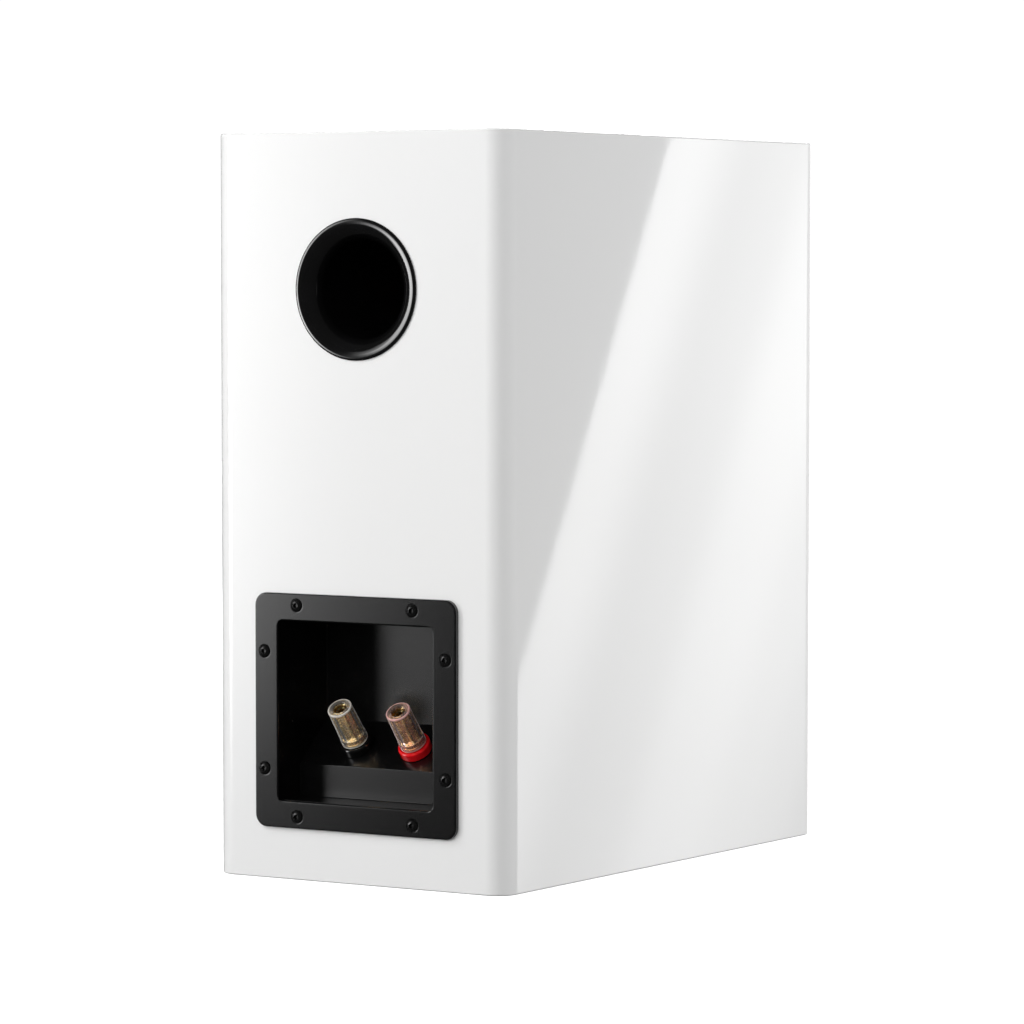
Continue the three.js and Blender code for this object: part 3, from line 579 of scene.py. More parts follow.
CARRIED_OVER = {
    FIBREBOARD: ["front_baffle", "rear_panel", "side_left", "side_right", "top_panel", "bottom_panel",
                 "window_brace"],
    FOAM: ["terminal_gasket", "woofer_gasket", "tweeter_gasket"],
    GLOSS: ["post_black_backing", "post_red_backing"],
    GOLD: ["post_black_rear_nut", "post_red_rear_nut"],
    COIL: ["woofer_coil"],
    STEEL: ["woofer_top_plate", "woofer_back_plate", "tweeter_top_plate", "tweeter_back_plate"],
    FERRITE: ["woofer_magnet", "tweeter_magnet"],
    SATIN: ["tweeter_rear_chamber"],
    BOARD: ["crossover_board"],
    COPPER: ["inductor_bass", "inductor_treble"],
    FILM: ["capacitor_large", "capacitor_small"],
    CEMENT: ["resistor"],
    FELT: ["damping_pad_left", "damping_pad_right"],
}
for look, names in CARRIED_OVER.items():
    for name in names:
        for material_slot in NODES[name].material_slots:
            material_slot.material = look.material


# ---------------- lacquered skin of the cabinet

def cabinet_outline(grow, z):
    """The cabinet's plan grown outward by grow, at height z."""
    corners = [
        (-FRONT_W / 2, FRONT, EDGE_R), (FRONT_W / 2, FRONT, EDGE_R),
        (REAR_W / 2, REAR, EDGE_R), (-REAR_W / 2, REAR, EDGE_R),
    ]
    return [(x, y, z) for x, y in fillet(offset(corners, -grow), 20)]


def cabinet_block(name, grow):
    """The cabinet's block with eased ends, grown outward by grow."""
    rings = []
    for end, direction in ((-grow, 1), (HEIGHT + grow, -1)):
        eased = []
        for turn in evenly(0, math.pi / 2, 5):
            inset = EASE * (1 - math.sin(turn))
            eased.append(cabinet_outline(grow - inset, end + direction * EASE * (1 - math.cos(turn))))
        rings += eased if direction > 0 else eased[::-1]
    return loft(name, rings)


def disc_cutter(radius, y0, y1, z, segments=128):
    """A disc about the line along Y at height z, for round holes."""
    return lathe("cutter", [(0, y0), (radius, y0), (radius, y1), (0, y1)], segments, 0, z)


SKIN_T = 0.15
SKIN_CLEARANCE = 0.03
REACH = 2  # how far each cutter goes past the skin
UNDER_PORT = 1  # how far the skin runs in under the port's lip, and under the plate's edge
UNDER_PLATE = 0.7
skin = cabinet_block("cabinet_lacquer", SKIN_CLEARANCE + SKIN_T)
skin = combine(skin, [
    cabinet_block("cutter", SKIN_CLEARANCE),
    disc_cutter(WOOFER_R + GAP, FRONT - REACH, FRONT + REACH, WOOFER_Z),
    disc_cutter(TWEETER_R + GAP, FRONT - REACH, FRONT + REACH, TWEETER_Z),
    disc_cutter(PORT_RIM - UNDER_PORT, REAR - REACH, REAR + REACH, PORT_Z),
    loft("cutter", [square_ring(PLATE_HALF - UNDER_PLATE, PLATE_R, REAR + y) for y in (-REACH, REACH)]),
])
finish_piece(skin, "cabinet", LACQUER)


# ---------------- terminal plate and recess

POST_TILT = math.atan2(JOINTS["post_black_lift"]["axis"][2], JOINTS["post_black_lift"]["axis"][1])


def recess_outline(grow):
    """The recess's outline in the Y-Z plane, anticlockwise, with a radius at each corner."""
    back = REAR - POCKET_DEPTH
    low = REAR - LEDGE_DEPTH
    floor, roof = PLATE_Z - POCKET_HALF, PLATE_Z + POCKET_HALF
    mouth = PLATE_FACE + 6
    shelf_top = LEDGE_Z + (low - back) / math.tan(POST_TILT)
    corners = [
        (mouth, floor, 0.1), (mouth, roof, 0.1), (back, roof, 0.8), (back, shelf_top, 0.2),
        (low, LEDGE_Z, 0.7), (low, floor + FLOOR_RISE, 0.5),
    ]
    return offset(corners, -grow)


def recess_cutter():
    """The hollow of the recess, its ends rounded over to meet the side walls."""
    radius = 0.4
    rings = []
    for side in (-1, 1):
        end = []
        for turn in evenly(0, math.pi / 2, 3):
            x = POCKET_HALF - radius * (1 - math.cos(turn))
            inset = radius * (1 - math.sin(turn))
            outline = fillet(offset(recess_outline(0), inset), 8)
            end.append([(side * x, y, z) for y, z in outline])
        rings += end if side < 0 else end[::-1]
    return loft("cutter", rings)


def lip_cutter():
    """Rounds the front edge of the recess."""
    lip, corner = 0.9, 3
    rings = [square_ring(POCKET_HALF - 0.02, corner, PLATE_FACE - 2)]
    for turn in evenly(0, math.pi / 2, 6):
        grown = lip * (1 - math.cos(turn))
        y = PLATE_FACE - lip + lip * math.sin(turn)
        rings.append(square_ring(POCKET_HALF + grown, corner + grown, y))
    rings.append(square_ring(POCKET_HALF + lip + 0.4, corner + 1, PLATE_FACE + 1))
    return loft("cutter", rings)


def plate_flange():
    """The plate around the recess, with its outer edge rounded."""
    edge = 0.8
    rings = [square_ring(PLATE_HALF, PLATE_R, PLATE_BACK)]
    for turn in evenly(0, math.pi / 2, 7):
        inset = edge * (1 - math.cos(turn))
        y = PLATE_FACE - edge + edge * math.sin(turn)
        rings.append(square_ring(PLATE_HALF - inset, PLATE_R - inset, y))
    return loft("terminal_plate", rings)


def counterbore(x, z):
    """The seat of one plate screw: a flat floor, a rounded mouth and a hole for the shank."""
    seat_r, mouth_r, shank_r = 3.4, 3.8, 1.8
    floor, end, outside = PLATE_FACE - 0.6, REAR - 3, PLATE_FACE + 1
    mouth = fillet([(seat_r, floor), (seat_r, PLATE_FACE, 0.08), (mouth_r, PLATE_FACE)], 2, closed=False)
    profile = [(0, end), (shank_r, end), (shank_r, floor), *mouth, (mouth_r, outside), (0, outside)]
    return lathe("cutter", profile, 40, x, z)


def on_post(obj, x):
    """Moves a shape drawn about the Y axis onto the axis of the post at x."""
    pivot = JOINTS["post_black_turn"]["pos_m"]
    place = Matrix.Translation((x, pivot[1] / MM, pivot[2] / MM)) @ Matrix.Rotation(POST_TILT, 4, "X")
    return placed(obj, place)


POST_X = {colour: JOINTS[f"post_{colour}_turn"]["pos_m"][0] / MM for colour in ("black", "red")}
STUD_R = 3.0
STUD_BORE = STUD_R + GAP


def terminal_plate():
    shell_x = POCKET_HALF + POCKET_WALL
    shell = loft("shell", [
        [(x, min(y, PLATE_BACK + 1), z) for y, z in fillet(recess_outline(POCKET_WALL), 4)]
        for x in (-shell_x, shell_x)
    ])
    plate = combine(plate_flange(), [shell], "UNION")
    bores = [on_post(disc_cutter(STUD_BORE, -8, 4, 0, 48), x) for x in POST_X.values()]
    seats = [counterbore(x, z) for x, z in SCREW_SPOTS]
    return combine(plate, [recess_cutter(), lip_cutter(), *seats, *bores])


finish_piece(terminal_plate(), "cabinet", SATIN, ["terminal_cup"], sharp=28)


# ---------------- screws

def button_screw(name, seat, length):
    """A button-head screw along +Y with a hexagon socket; seat is the underside of its head."""
    head_r, head_h, rim_h = 3.25, 2.0, 0.35
    socket_r, socket_h = 1.45, 1.5
    shank_r, tip_r, tip_h = 1.5, 1.0, 1.5
    low, high = math.radians(12), math.radians(78)
    dome = []
    for turn in evenly(low, high, 8):
        radius = 0.995 * head_r * math.cos(turn) / math.cos(low)
        dome.append((radius, seat + rim_h + (head_h - rim_h) * math.sin(turn) / math.sin(high)))
    tip, top = seat - length, seat + head_h
    screw = lathe(name, [
        (0, tip), (tip_r, tip), (shank_r, tip + tip_h), (shank_r, seat), (head_r, seat), *dome, (0, top),
    ], 64)
    hexagon = [(socket_r * math.cos(math.pi / 3 * i), socket_r * math.sin(math.pi / 3 * i)) for i in range(6)]
    socket = loft("cutter", [[(x, y, z) for x, z in hexagon] for y in (top - socket_h, top + 1)])
    mouth = lathe("cutter", [
        (0, top - 0.25), (socket_r - 0.1, top - 0.25), (socket_r + 0.35, top + 0.2), (0, top + 0.2),
    ], 48)
    return combine(screw, [socket, mouth])


def screw_set(prefix, spots, seat, length, twist, forward=False, nodes=()):
    """One screw at each (x, z) spot, each turned by twist radians more than the last.

    Their heads face +Y, or -Y if forward is true; nodes are the CAD nodes that they stand for."""
    template = button_screw("screw_template", seat, length)
    facing = Matrix.Identity(4)
    if forward:
        middle = Vector((0, seat, 0))
        facing = Matrix.Translation(middle) @ Matrix.Rotation(math.pi, 4, "Z") @ Matrix.Translation(-middle)
    for number, (x, z) in enumerate(spots, 1):
        screw = add_object(f"{prefix}_{number}", template.data.copy())
        placed(screw, Matrix.Translation((x, 0, z)) @ Matrix.Rotation(number * twist, 4, "Y") @ facing)
        finish_piece(screw, "cabinet", BLACK_STEEL, nodes[number - 1:number])
    bpy.data.objects.remove(template)


def driver_seat(face, x, z):
    """The hole for the head of one driver screw in a front plate at face."""
    floor, outside = face + DRIVER_SEAT_DEPTH, face - 1
    seat_r, mouth_r = 3.7, 3.9
    profile = [(0, outside), (mouth_r, outside), (seat_r, face + 0.25), (seat_r, floor), (0, floor)]
    return lathe("cutter", profile, 40, x, z)


def ring_of_spots(count, radius, z, start):
    """Evenly spaced places round an axis along Y, as (x, z) pairs."""
    turns = [math.radians(start + 360 * i / count) for i in range(count)]
    return [(radius * math.cos(t), z + radius * math.sin(t)) for t in turns]


DRIVER_SEAT_DEPTH = 2.4
DRIVER_SCREW_SEAT = DRIVER_SEAT_DEPTH - 0.1

screw_set("plate_screw", SCREW_SPOTS, SCREW_SEAT, 15, 1.9,
          nodes=[f"terminal_screw_{number}" for number in range(1, len(SCREW_SPOTS) + 1)])


# ---------------- binding posts

STUD_LOW = -17
COLLAR_TOP = 4.9
WASHER_LOW = COLLAR_TOP + GAP
WASHER_T = 1.5
NUT_LOW = WASHER_LOW + WASHER_T + GAP
NUT_FLANGE_TOP = NUT_LOW + 2
FLANGE_R = 5.9
CAP_LOW = 5.2
CAP_TOP = 28.2
NUT_TOP = CAP_TOP - 1.2
BARREL_R = 4.2
THREAD_PITCH = 1.25


def thread(r, y, angle):
    """The radius of a stud at a point: its outer wall carries a screw thread."""
    if abs(r - STUD_R) > 0.01:
        return r
    phase = (y / THREAD_PITCH - angle / (2 * math.pi)) % 1
    return r - 0.38 * abs(2 * phase - 1)


def flutes(r, y, angle):
    """Eight flutes on the barrel of the nut."""
    if not BARREL_R - 0.1 < r < BARREL_R:
        return r
    return r - 0.3 + 0.3 * math.cos(8 * angle)


def post_collar(name):
    """The insulating foot, with a shallow groove in its top."""
    outer, groove_out, groove_in = 8.6, 7.2, 6.25
    groove = COLLAR_TOP - 0.6
    return lathe(name, fillet([
        (STUD_BORE, GAP), (outer, GAP, 0.3), (outer, COLLAR_TOP, 1.1), (groove_out + 0.1, COLLAR_TOP, 0.2),
        (groove_out - 0.1, groove, 0.2), (groove_in + 0.05, groove, 0.2), (groove_in - 0.05, COLLAR_TOP, 0.1),
        (STUD_BORE, COLLAR_TOP),
    ]), 128)


def post_stud(name):
    """The threaded stud, bored from its end for a plug."""
    end, bore_r, bore_end = NUT_TOP - 1, 2.05, NUT_TOP - 17
    walls = [(STUD_R, y) for y in evenly(STUD_LOW + 0.4, end - 0.4, 300)]
    return lathe(name, [
        (0, STUD_LOW), (2.4, STUD_LOW), *walls, (2.6, end), (2.3, end), (bore_r, end - 0.3),
        (bore_r, bore_end), (0, bore_end - 1),
    ], 48, wobble=thread)


def post_washer(name):
    low, high = WASHER_LOW, WASHER_LOW + WASHER_T
    return lathe(name, fillet([
        (STUD_BORE, low, 0.2), (FLANGE_R, low, 0.3), (FLANGE_R, high, 0.3), (STUD_BORE, high, 0.2),
    ], 4), 96)


def post_nut(name):
    """The clamp nut: a flange and a fluted barrel."""
    flange = fillet([
        (STUD_BORE, NUT_LOW), (FLANGE_R, NUT_LOW, 0.3), (FLANGE_R, NUT_FLANGE_TOP, 0.4),
        (3.9, NUT_FLANGE_TOP),
    ], 4, closed=False)
    barrel = [(BARREL_R - 0.05, y) for y in evenly(NUT_FLANGE_TOP + 0.4, NUT_TOP - 1, 12)]
    top = fillet([
        (BARREL_R, NUT_TOP - 0.8), (BARREL_R, NUT_TOP, 0.35), (STUD_BORE, NUT_TOP, 0.25),
        (STUD_BORE, NUT_TOP - 1.5),
    ], 4, closed=False)
    return lathe(name, [*flange[:-1], (BARREL_R, NUT_FLANGE_TOP), *barrel, *top[1:]], 144, wobble=flutes)


def post_cap(name):
    """The clear plastic sleeve, which is moulded on to the barrel of the nut."""
    inner, skirt_inner, skirt_outer = 3.85, 6.2, 7
    seat = NUT_FLANGE_TOP + GAP
    return lathe(name, fillet([
        (skirt_inner, CAP_LOW, 0.15), (skirt_outer, CAP_LOW, 0.7), (skirt_outer, CAP_LOW + 3.4, 0.8),
        (6.75, CAP_LOW + 4.2, 1.5), (6.4, CAP_TOP, 0.8), (inner, CAP_TOP, 0.3), (inner, seat, 0.1),
        (skirt_inner, seat, 0.15),
    ], 6), 128)


def post_cap_rims(name):
    """The pale bevels round the top and the bottom of the clear sleeve, painted highlights, in one mesh."""
    top, low = CAP_TOP + 0.08, CAP_LOW - 0.05
    top_rim = lathe(name, fillet([
        (6.5, CAP_TOP - 0.9, 0.05), (6.5, top, 0.6), (5.75, top, 0.05), (5.75, CAP_TOP - 0.2),
        (6.2, CAP_TOP - 0.4), (6.35, CAP_TOP - 0.9),
    ], 6), 128)
    low_rim = lathe("low_rim", fillet([
        (6.3, low), (7.06, low, 0.4), (7.06, low + 0.9, 0.3), (6.8, low + 0.95), (6.75, low + 0.35),
        (6.3, low + 0.3),
    ], 6), 128)
    return combine(top_rim, [low_rim], "UNION")


def binding_post(colour, collar_look):
    """One post. The washer slides, and the nut and its cap turn as they slide."""
    cap_body, washer_body = f"post_{colour}_cap", f"post_{colour}_washer"
    for part, shape, body, look, sharp in (
        ("collar", post_collar, "cabinet", collar_look, 32),
        ("stud", post_stud, "cabinet", GOLD, 60),
        ("washer", post_washer, washer_body, GOLD, 32),
        ("nut", post_nut, cap_body, GOLD, 50),
        ("cap", post_cap, cap_body, CLEAR[colour], 40),
    ):
        piece = on_post(shape(f"{colour}_post_{part}"), POST_X[colour])
        finish_piece(piece, body, look, [f"post_{colour}_{part}"], sharp)
    rims = on_post(post_cap_rims(f"{colour}_post_cap_rims"), POST_X[colour])
    finish_piece(rims, cap_body, RIMS[colour])


binding_post("black", GLOSS)
binding_post("red", RED)


# ---------------- reflex port

def arc(cx, cy, radius, start, end, steps):
    """Points of an arc as (radius, y) pairs, in degrees."""
    turns = [math.radians(angle) for angle in evenly(start, end, steps)]
    return [(cx + radius * math.cos(t), cy + radius * math.sin(t)) for t in turns]


FLARE_R = 9.4
INNER_FLARE_R = 12


def port_tube():
    """The tube with its flared mouth, and a lip that laps over the rear panel."""
    face = PORT_HIGH.y
    lip, lip_rise, lip_steps = 1.6, 0.5, 14
    flare = (PORT_THROAT + FLARE_R, face - FLARE_R)
    turns = [math.pi / 2 * (1 - k / lip_steps) for k in range(lip_steps + 1)]
    rim = [(PORT_RIM - lip + lip * math.cos(t), face - lip_rise + lip_rise * math.sin(t)) for t in turns]
    return lathe("port_tube_flared", [
        (PORT_THROAT, PORT_LOW.y), *arc(*flare, FLARE_R, 180, 92, 24), *rim, (PORT_RIM, REAR + GAP),
        (PORT_RIM - lip, REAR + GAP), (PORT_RIM - lip, REAR - lip),
        *arc(*flare, FLARE_R - PORT_WALL, 110, 180, 10), (PORT_THROAT + PORT_WALL, PORT_LOW.y),
    ], 192, 0, PORT_Z)


def port_inner_flare():
    """The flare on the inner end of the tube, with a socket that the tube fits into."""
    end = span("port_inner_flare")[0].y
    flare = (PORT_THROAT + INNER_FLARE_R, end + INNER_FLARE_R)
    seat = end + 14
    socket_in, socket_out = PORT_THROAT + PORT_WALL + GAP, PORT_THROAT + PORT_WALL + 2.3
    return lathe("port_flare_inside", [
        (PORT_THROAT, seat), *arc(*flare, INNER_FLARE_R, 180, 250, 12),
        *arc(*flare, INNER_FLARE_R - PORT_WALL, 250, 180, 12), (PORT_THROAT + PORT_WALL, seat - 0.5),
        (socket_out, seat + 1), (socket_out, seat + 12), (socket_in, seat + 12), (socket_in, seat),
    ], 96, 0, PORT_Z)


finish_piece(port_tube(), "cabinet", GLOSS, ["port_tube"])
finish_piece(port_inner_flare(), "cabinet", SATIN, ["port_inner_flare"])


# ---------------- woofer

WOOFER_BACK = WOOFER_FACE + 4
SPIDER_Y = FRONT + 38
BASKET_FLOOR = BASKET_HIGH.y


def cone_y(r):
    """The front face of the cone at radius r."""
    return WOOFER_FACE + 34 * (max(CONE_R - r, 0) / (CONE_R - NECK_R)) ** 1.15


def woofer_basket():
    """The frame: a ring with a step for the surround, and a bowl with windows down to the magnet."""
    ring_in, mouth, wall_in, wall_out = 80, 72.2, 72.5, 76
    shelf_in, shelf_out, shelf_t = 47, 56, 3
    floor_in, floor_out, floor_t = 24, 52, 3.7
    step = WOOFER_FACE + 0.6
    basket = lathe("woofer_frame", fillet([
        (WOOFER_R, WOOFER_BACK), (WOOFER_R, WOOFER_FACE, 0.9), (ring_in + 0.2, WOOFER_FACE, 0.4),
        (ring_in, step, 0.3), (mouth, step, 0.5), (mouth, WOOFER_BACK - 1, 0.5), (wall_in, WOOFER_BACK),
        (wall_in, FRONT + 20, 3), (shelf_out, SPIDER_Y, 1), (shelf_in, SPIDER_Y),
        (shelf_in, SPIDER_Y + shelf_t), (shelf_in + 3, SPIDER_Y + shelf_t),
        (floor_out - 6, BASKET_FLOOR - floor_t), (floor_in, BASKET_FLOOR - floor_t), (floor_in, BASKET_FLOOR),
        (floor_out, BASKET_FLOOR, 1), (floor_out + 6, FRONT + 42, 2), (wall_out, FRONT + 22, 3),
        (wall_out, WOOFER_BACK),
    ], 5), 192, 0, WOOFER_Z)
    windows = []
    for i in range(6):
        outline = fillet([(-28, 90, 2), (-16, 55, 4), (16, 55, 4), (28, 90, 2)], 4)
        window = loft("cutter", [[(x, y, z) for x, z in outline] for y in (FRONT + 14, SPIDER_Y - 1)])
        turn = Matrix.Translation((0, 0, WOOFER_Z)) @ Matrix.Rotation(math.pi / 3 * i, 4, "Y")
        windows.append(placed(window, turn))
    seats = [driver_seat(WOOFER_FACE, x, z) for x, z in WOOFER_SCREWS]
    return combine(basket, windows + seats)


def woofer_cone():
    thickness = 1.2
    front = [(r, cone_y(r)) for r in evenly(NECK_R, CONE_R, 40)]
    back = [(r, y + thickness) for r, y in reversed(front)]
    return lathe("woofer_cone_shell", front + back, 192, 0, WOOFER_Z)


def dome_arc(r, y, rise):
    """A quarter ellipse from the axis out to radius r, as (radius, y) pairs; its edge is at y."""
    return [(r * math.sin(t), y - rise * math.cos(t)) for t in evenly(0, math.pi / 2, 28)]


def woofer_dust_cap():
    """The dome in the middle of the cone, with a small glued foot."""
    radius, rise, wall = 32, 9, 1
    edge = cone_y(radius) - 1.1
    foot = edge + 0.85
    return lathe("woofer_dust_dome", [
        *dome_arc(radius, edge, rise), (radius + 0.4, edge + 0.45), (radius, foot), (radius - wall, foot),
        *reversed(dome_arc(radius - wall, edge, rise - 0.9)),
    ], 192, 0, WOOFER_Z)


def half_roll(base_y, thin, steps=28):
    """The roll of the surround above base_y, or its inside when thin is its thickness."""
    middle, half = (ROLL_IN + ROLL_R) / 2, (ROLL_R - ROLL_IN) / 2
    rise = base_y - (FRONT - 5)
    turns = [math.pi * (1 - k / steps) for k in range(steps + 1)]
    return [(middle + (half - thin) * math.cos(t), base_y - (rise - thin) * math.sin(t)) for t in turns]


def woofer_surround():
    """The rubber half-roll, with a flap on the cone and a lip on the basket."""
    back, rubber = WOOFER_FACE + 0.3, 1.0
    lip_front, lip_r = back - 0.75, 79.5
    flap = [(r, cone_y(r) - 0.1) for r in (CONE_R - 4 + k for k in range(4))]
    return lathe("woofer_half_roll", [
        *[(r, y - 0.7) for r, y in flap], (ROLL_IN - 0.6, back - 0.9), *half_roll(back, 0),
        (ROLL_R + 0.5, lip_front), (lip_r - 0.3, lip_front), (lip_r, back - 0.4), (lip_r, back),
        (ROLL_R - 1, back), *reversed(half_roll(back, rubber)), (ROLL_IN, back - 0.1), *reversed(flap),
    ], 192, 0, WOOFER_Z)


def woofer_spider():
    """The corrugated disc that centres the coil, flat at its two edges."""
    waves, wave_h, cloth = 5, 0.9, 0.6
    front = []
    for t in evenly(0, 1, 96):
        rise = wave_h * (1 - math.cos(2 * math.pi * waves * t)) * min(1, 6 * t, 6 * (1 - t))
        front.append((SPIDER_IN + (SPIDER_OUT - SPIDER_IN) * t, SPIDER_Y - 1 - rise))
    back = [(r, y + cloth) for r, y in reversed(front)]
    return lathe("woofer_corrugated_spider", front + back, 128, 0, WOOFER_Z)


ROLL_IN = CONE_R + 0.2
SPIDER_IN, SPIDER_OUT = NECK_R + 0.1, 54
WOOFER_SCREWS = ring_of_spots(6, 86, WOOFER_Z, 30)

finish_piece(woofer_basket(), "cabinet", CAST, ["woofer_basket"], sharp=28)
finish_piece(woofer_cone(), "woofer_cone", CONE, ["woofer_cone"])
finish_piece(woofer_dust_cap(), "woofer_cone", CONE, ["woofer_dust_cap"])
surround = finish_piece(woofer_surround(), None, RUBBER, ["woofer_surround"])
bend_between(surround, "woofer_cone", WOOFER_Z, ROLL_R, ROLL_IN)
spider = finish_piece(woofer_spider(), None, SPIDER, ["woofer_spider"])
bend_between(spider, "woofer_cone", WOOFER_Z, SPIDER_OUT - 4, SPIDER_IN + 2)
screw_set("woofer_screw", WOOFER_SCREWS, WOOFER_FACE + DRIVER_SCREW_SEAT, 16, 1.3, forward=True)


# ---------------- tweeter

def tweeter_plate():
    """The front plate, dished around the dome."""
    hole, dish_r = TWEETER_ROLL_R + 0.7, 31
    plate = lathe("tweeter_plate", fillet([
        (hole, TWEETER_BACK), (hole, TWEETER_BACK - 2.4, 0.3), (hole + 2, TWEETER_BACK - 2.5, 2),
        (dish_r, TWEETER_FACE, 6), (TWEETER_R, TWEETER_FACE, 0.8), (TWEETER_R, TWEETER_BACK),
    ], 10), 192, 0, TWEETER_Z)
    return combine(plate, [driver_seat(TWEETER_FACE, x, z) for x, z in TWEETER_SCREWS])


def tweeter_dome():
    """The soft dome and the tube of its coil."""
    edge, end = TWEETER_BACK - 1.4, TWEETER_BACK + 4.5
    outer, inner = DOME_R - 0.1, DOME_R - 0.8
    return lathe("tweeter_soft_dome", [
        *dome_arc(outer, edge, 5.2), (outer, end), (inner, end), *reversed(dome_arc(inner, edge, 4.6)),
    ], 128, 0, TWEETER_Z)


def tweeter_surround():
    middle, half = (TWEETER_ROLL_IN + TWEETER_ROLL_R) / 2, (TWEETER_ROLL_R - TWEETER_ROLL_IN) / 2
    front, cloth = TWEETER_BACK - 0.5, 0.4
    back, outer = front + 0.3, TWEETER_ROLL_R + 0.4
    return lathe("tweeter_ring_surround", [
        *arc(middle, front, half, 180, 360, 16), (outer, front), (outer, back),
        *arc(middle, back, half - cloth, 360, 180, 16), (TWEETER_ROLL_IN, back),
    ], 128, 0, TWEETER_Z)


TWEETER_ROLL_IN = DOME_R + 0.1
TWEETER_SCREWS = ring_of_spots(4, 44.5, TWEETER_Z, 45)

finish_piece(tweeter_plate(), "cabinet", SATIN, ["tweeter_faceplate"], sharp=28)
screw_set("tweeter_screw", TWEETER_SCREWS, TWEETER_FACE + DRIVER_SCREW_SEAT, 16, 1.3, forward=True)
finish_piece(tweeter_dome(), "tweeter_dome", SILK, ["tweeter_dome"])
ring = finish_piece(tweeter_surround(), None, SILK, ["tweeter_surround"])
bend_between(ring, "tweeter_dome", TWEETER_Z, TWEETER_ROLL_R, TWEETER_ROLL_IN)


# ---------------- floor, lights and camera

def stage_floor():
    """A pale glowing floor just under the speaker, which neither lights it nor shows in its gloss."""
    half = 4.0
    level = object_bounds()[0].z - 0.0001
    mesh = bpy.data.meshes.new("studio_floor")
    mesh.from_pydata([(-half, -half, level), (half, -half, level), (half, half, level), (-half, half, level)],
                     [], [(0, 1, 2, 3)])
    floor = add_object("studio_floor", mesh)
    look = Look("studio_floor", None, (0.9, 0.9, 0.9), 0.9, Specular_IOR_Level=0.0,
                Emission_Color=(1, 1, 1, 1), Emission_Strength=1.0)
    look.vary_color(look.noise(3, 2), (0.905, 0.905, 0.905))
    mesh.materials.append(look.material)
    floor.visible_glossy = floor.visible_diffuse = False


def soft_box(name, middle, across, up, size, radiance, fade_across=None, fade_up=None):
    """A rectangular light around middle. It shines along the cross product of up and across.

    fade_across and fade_up come together, as lists of (place, brightness) from 0 to 1 over the two sides."""
    across, up = Vector(across).normalized(), Vector(up).normalized()
    data = bpy.data.lights.new(name, "AREA")
    data.shape = "RECTANGLE"
    data.size, data.size_y = size
    data.energy = radiance * math.pi * size[0] * size[1]
    light = add_object(name, data)
    back = across.cross(up).normalized()
    light.matrix_world = Matrix.Translation(middle) @ Matrix((across, up, back)).transposed().to_4x4()
    light.visible_camera = False
    if fade_across:
        data.use_nodes = True
        nodes, links = data.node_tree.nodes, data.node_tree.links
        split = nodes.new("ShaderNodeSeparateXYZ")
        links.new(nodes.new("ShaderNodeNewGeometry").outputs["Parametric"], split.inputs[0])
        product = nodes.new("ShaderNodeMath")
        product.operation = "MULTIPLY"
        for index, (socket, stops) in enumerate((("X", fade_across), ("Y", fade_up))):
            ramp = nodes.new("ShaderNodeValToRGB")
            ramp.color_ramp.interpolation = "EASE"
            while len(ramp.color_ramp.elements) < len(stops):
                ramp.color_ramp.elements.new(0.5)
            for element, (place, value) in zip(ramp.color_ramp.elements, stops):
                element.position = place
                element.color = (value, value, value, 1)
            links.new(split.outputs[socket], ramp.inputs["Fac"])
            links.new(ramp.outputs["Color"], product.inputs[index])
        links.new(product.outputs[0], nodes["Emission"].inputs["Strength"])
    return light


def world_light(diffuse, gloss, wall, backdrop):
    """The surroundings: one strength each for diffuse light, reflections and the backdrop.

    Reflections also see a wall of its own strength in front of the speaker, along -Y."""
    world = bpy.data.worlds.new("studio")
    bpy.context.scene.world = world
    world.use_nodes = True
    nodes, links = world.node_tree.nodes, world.node_tree.links
    split = nodes.new("ShaderNodeSeparateXYZ")
    links.new(nodes.new("ShaderNodeTexCoord").outputs["Generated"], split.inputs[0])
    glow = nodes.new("ShaderNodeMapRange")
    glow.interpolation_type = "SMOOTHSTEP"
    set_inputs(glow, From_Min=-0.86, From_Max=-0.98, To_Min=gloss, To_Max=wall)
    links.new(split.outputs["Y"], glow.inputs["Value"])

    for_diffuse = nodes["Background"]
    for_gloss, for_camera = nodes.new("ShaderNodeBackground"), nodes.new("ShaderNodeBackground")
    for background, strength in ((for_diffuse, diffuse), (for_gloss, gloss), (for_camera, backdrop)):
        set_inputs(background, Color=(1, 1, 1, 1), Strength=strength)
    links.new(glow.outputs["Result"], for_gloss.inputs["Strength"])
    path = nodes.new("ShaderNodeLightPath")
    seen = for_diffuse
    for background, ray in ((for_gloss, "Is Glossy Ray"), (for_camera, "Is Camera Ray")):
        mix = nodes.new("ShaderNodeMixShader")
        links.new(path.outputs[ray], mix.inputs["Fac"])
        links.new(seen.outputs[0], mix.inputs[1])
        links.new(background.outputs[0], mix.inputs[2])
        seen = mix
    links.new(seen.outputs[0], nodes["World Output"].inputs["Surface"])


def box_facing(name, target, way, distance, size, radiance):
    """A soft box that faces target from the direction way."""
    way = Vector(way).normalized()
    wide = Vector((0, 0, 1)).cross(way).normalized()
    return soft_box(name, Vector(target) + way * distance, wide, way.cross(wide), size, radiance)


def spread(levels, low, high):
    """Turns distances between low and high, in (distance, brightness) pairs, into places from 0 to 1."""
    return [((at - low) / (high - low), level) for at, level in levels]


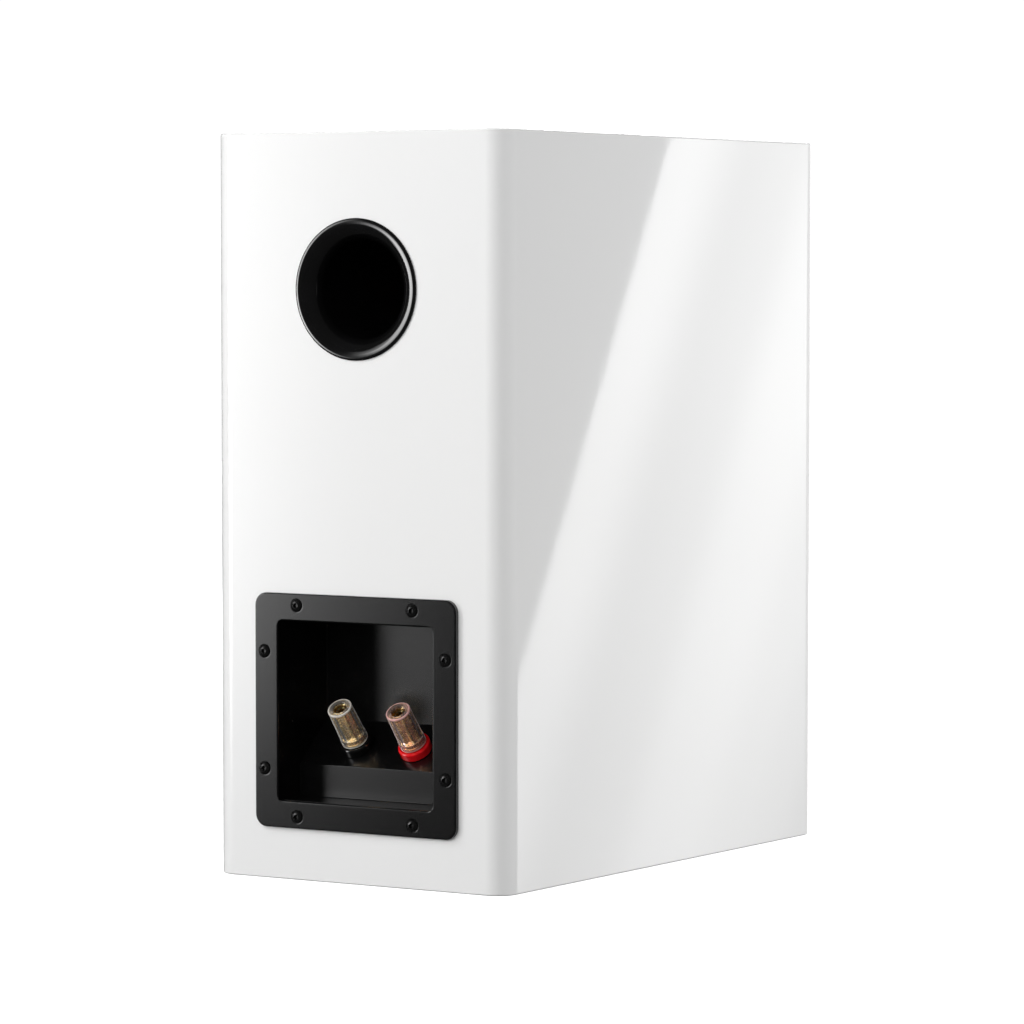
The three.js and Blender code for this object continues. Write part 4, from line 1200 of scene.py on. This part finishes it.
def key_light():
    """The tall light that the rear panel, the flare and the recess reflect.

    u and v are distances in metres from its axis, along its width and its height."""
    way = Vector((0.6795, 0.7036, 0.2079))
    wide = Vector((0, 0, 1)).cross(way).normalized()
    tall = way.cross(wide)
    distance = 1.7
    axis = Vector((0, REAR * MM, 0.2)) + way * distance
    u0, u1, v0, v1 = -0.4, 0.4, -0.82, 0.6
    across = [(u0, 1), (0.03, 1), (0.38, 0)]
    upward = [(v0, 0), (-0.47, 1), (-0.3, 0.9), (-0.1, 0.65), (0.1, 0.55), (0.25, 0.2), (v1, 0.05)]
    soft_box("key", axis + wide * (u0 + u1) / 2 + tall * (v0 + v1) / 2, wide, tall, (u1 - u0, v1 - v0), 7.6,
             spread(across, u0, u1), spread(upward, v0, v1))


def side_card():
    """The card that shows in the gloss of the side, with a slanted left edge from low to high.

    s and t are distances in metres from low, across the card and along that edge."""
    low, high = Vector((-0.896, -0.878, 0.009)), Vector((-0.874, -1.040, 0.420))
    tall = (high - low).normalized()
    wide = Vector((0.612, 0.790, 0.03)).cross(tall).normalized()
    s1, t0, t1 = 0.34, -0.3, 0.62
    across = [(0, 1), (0.02, 0.98), (0.07, 0.55), (0.1, 0.6), (0.135, 0.85), (0.16, 0.85), (0.2, 0.62),
              (0.225, 0.45), (0.25, 0.2), (s1, 0.1)]
    along = [(t0, 0.6), (-0.1, 0.72), (0.1, 0.86), (0.3, 1), (t1, 1)]
    soft_box("side_card", low + wide * s1 / 2 + tall * (t0 + t1) / 2, wide, tall, (s1, t1 - t0), 3.75,
             spread(across, 0, s1), spread(along, t0, t1))


def studio():
    """Plain soft light. The fills don't show in the gloss."""
    bpy.context.scene.view_settings.view_transform = "Standard"
    world_light(diffuse=0.16, gloss=0.03, wall=0.75, backdrop=1.05)
    key_light()
    side_card()
    middle = Vector((0, 0, HEIGHT * MM / 2))
    for fill in (
        box_facing("overhead", (0, 0.15, 0.25), (0.505, 0.6, 0.62), 1.25, (0.8, 0.42), 5.4),
        box_facing("rear_fill", middle, (-0.1, 0.95, 0.25), 2.0, (1.6, 1.2), 3.15),
        box_facing("side_fill", middle, (-0.9, -0.42, 0), 1.6, (1.2, 0.9), 6.5),
    ):
        fill.visible_glossy = False
    box_facing("front", middle, (0.45, -0.85, 0.68), 1.8, (1.0, 0.75), 10.0)


def camera():
    """The photo's view, from behind the speaker and a little to one side."""
    data = bpy.data.cameras.new("camera")
    data.sensor_width = 36
    data.lens = 150.954
    data.clip_end = 50
    cam = add_object("camera", data)
    heading, pitch = math.radians(30.5032), math.radians(3.1111)
    level = math.cos(pitch)
    forward = Vector((math.sin(heading) * level, -math.cos(heading) * level, -math.sin(pitch)))
    cam.location = (-1.16319, 1.97178, 0.30622)
    cam.rotation_euler = forward.to_track_quat("-Z", "Y").to_euler()
    bpy.context.scene.camera = cam


stage_floor()
studio()
camera()
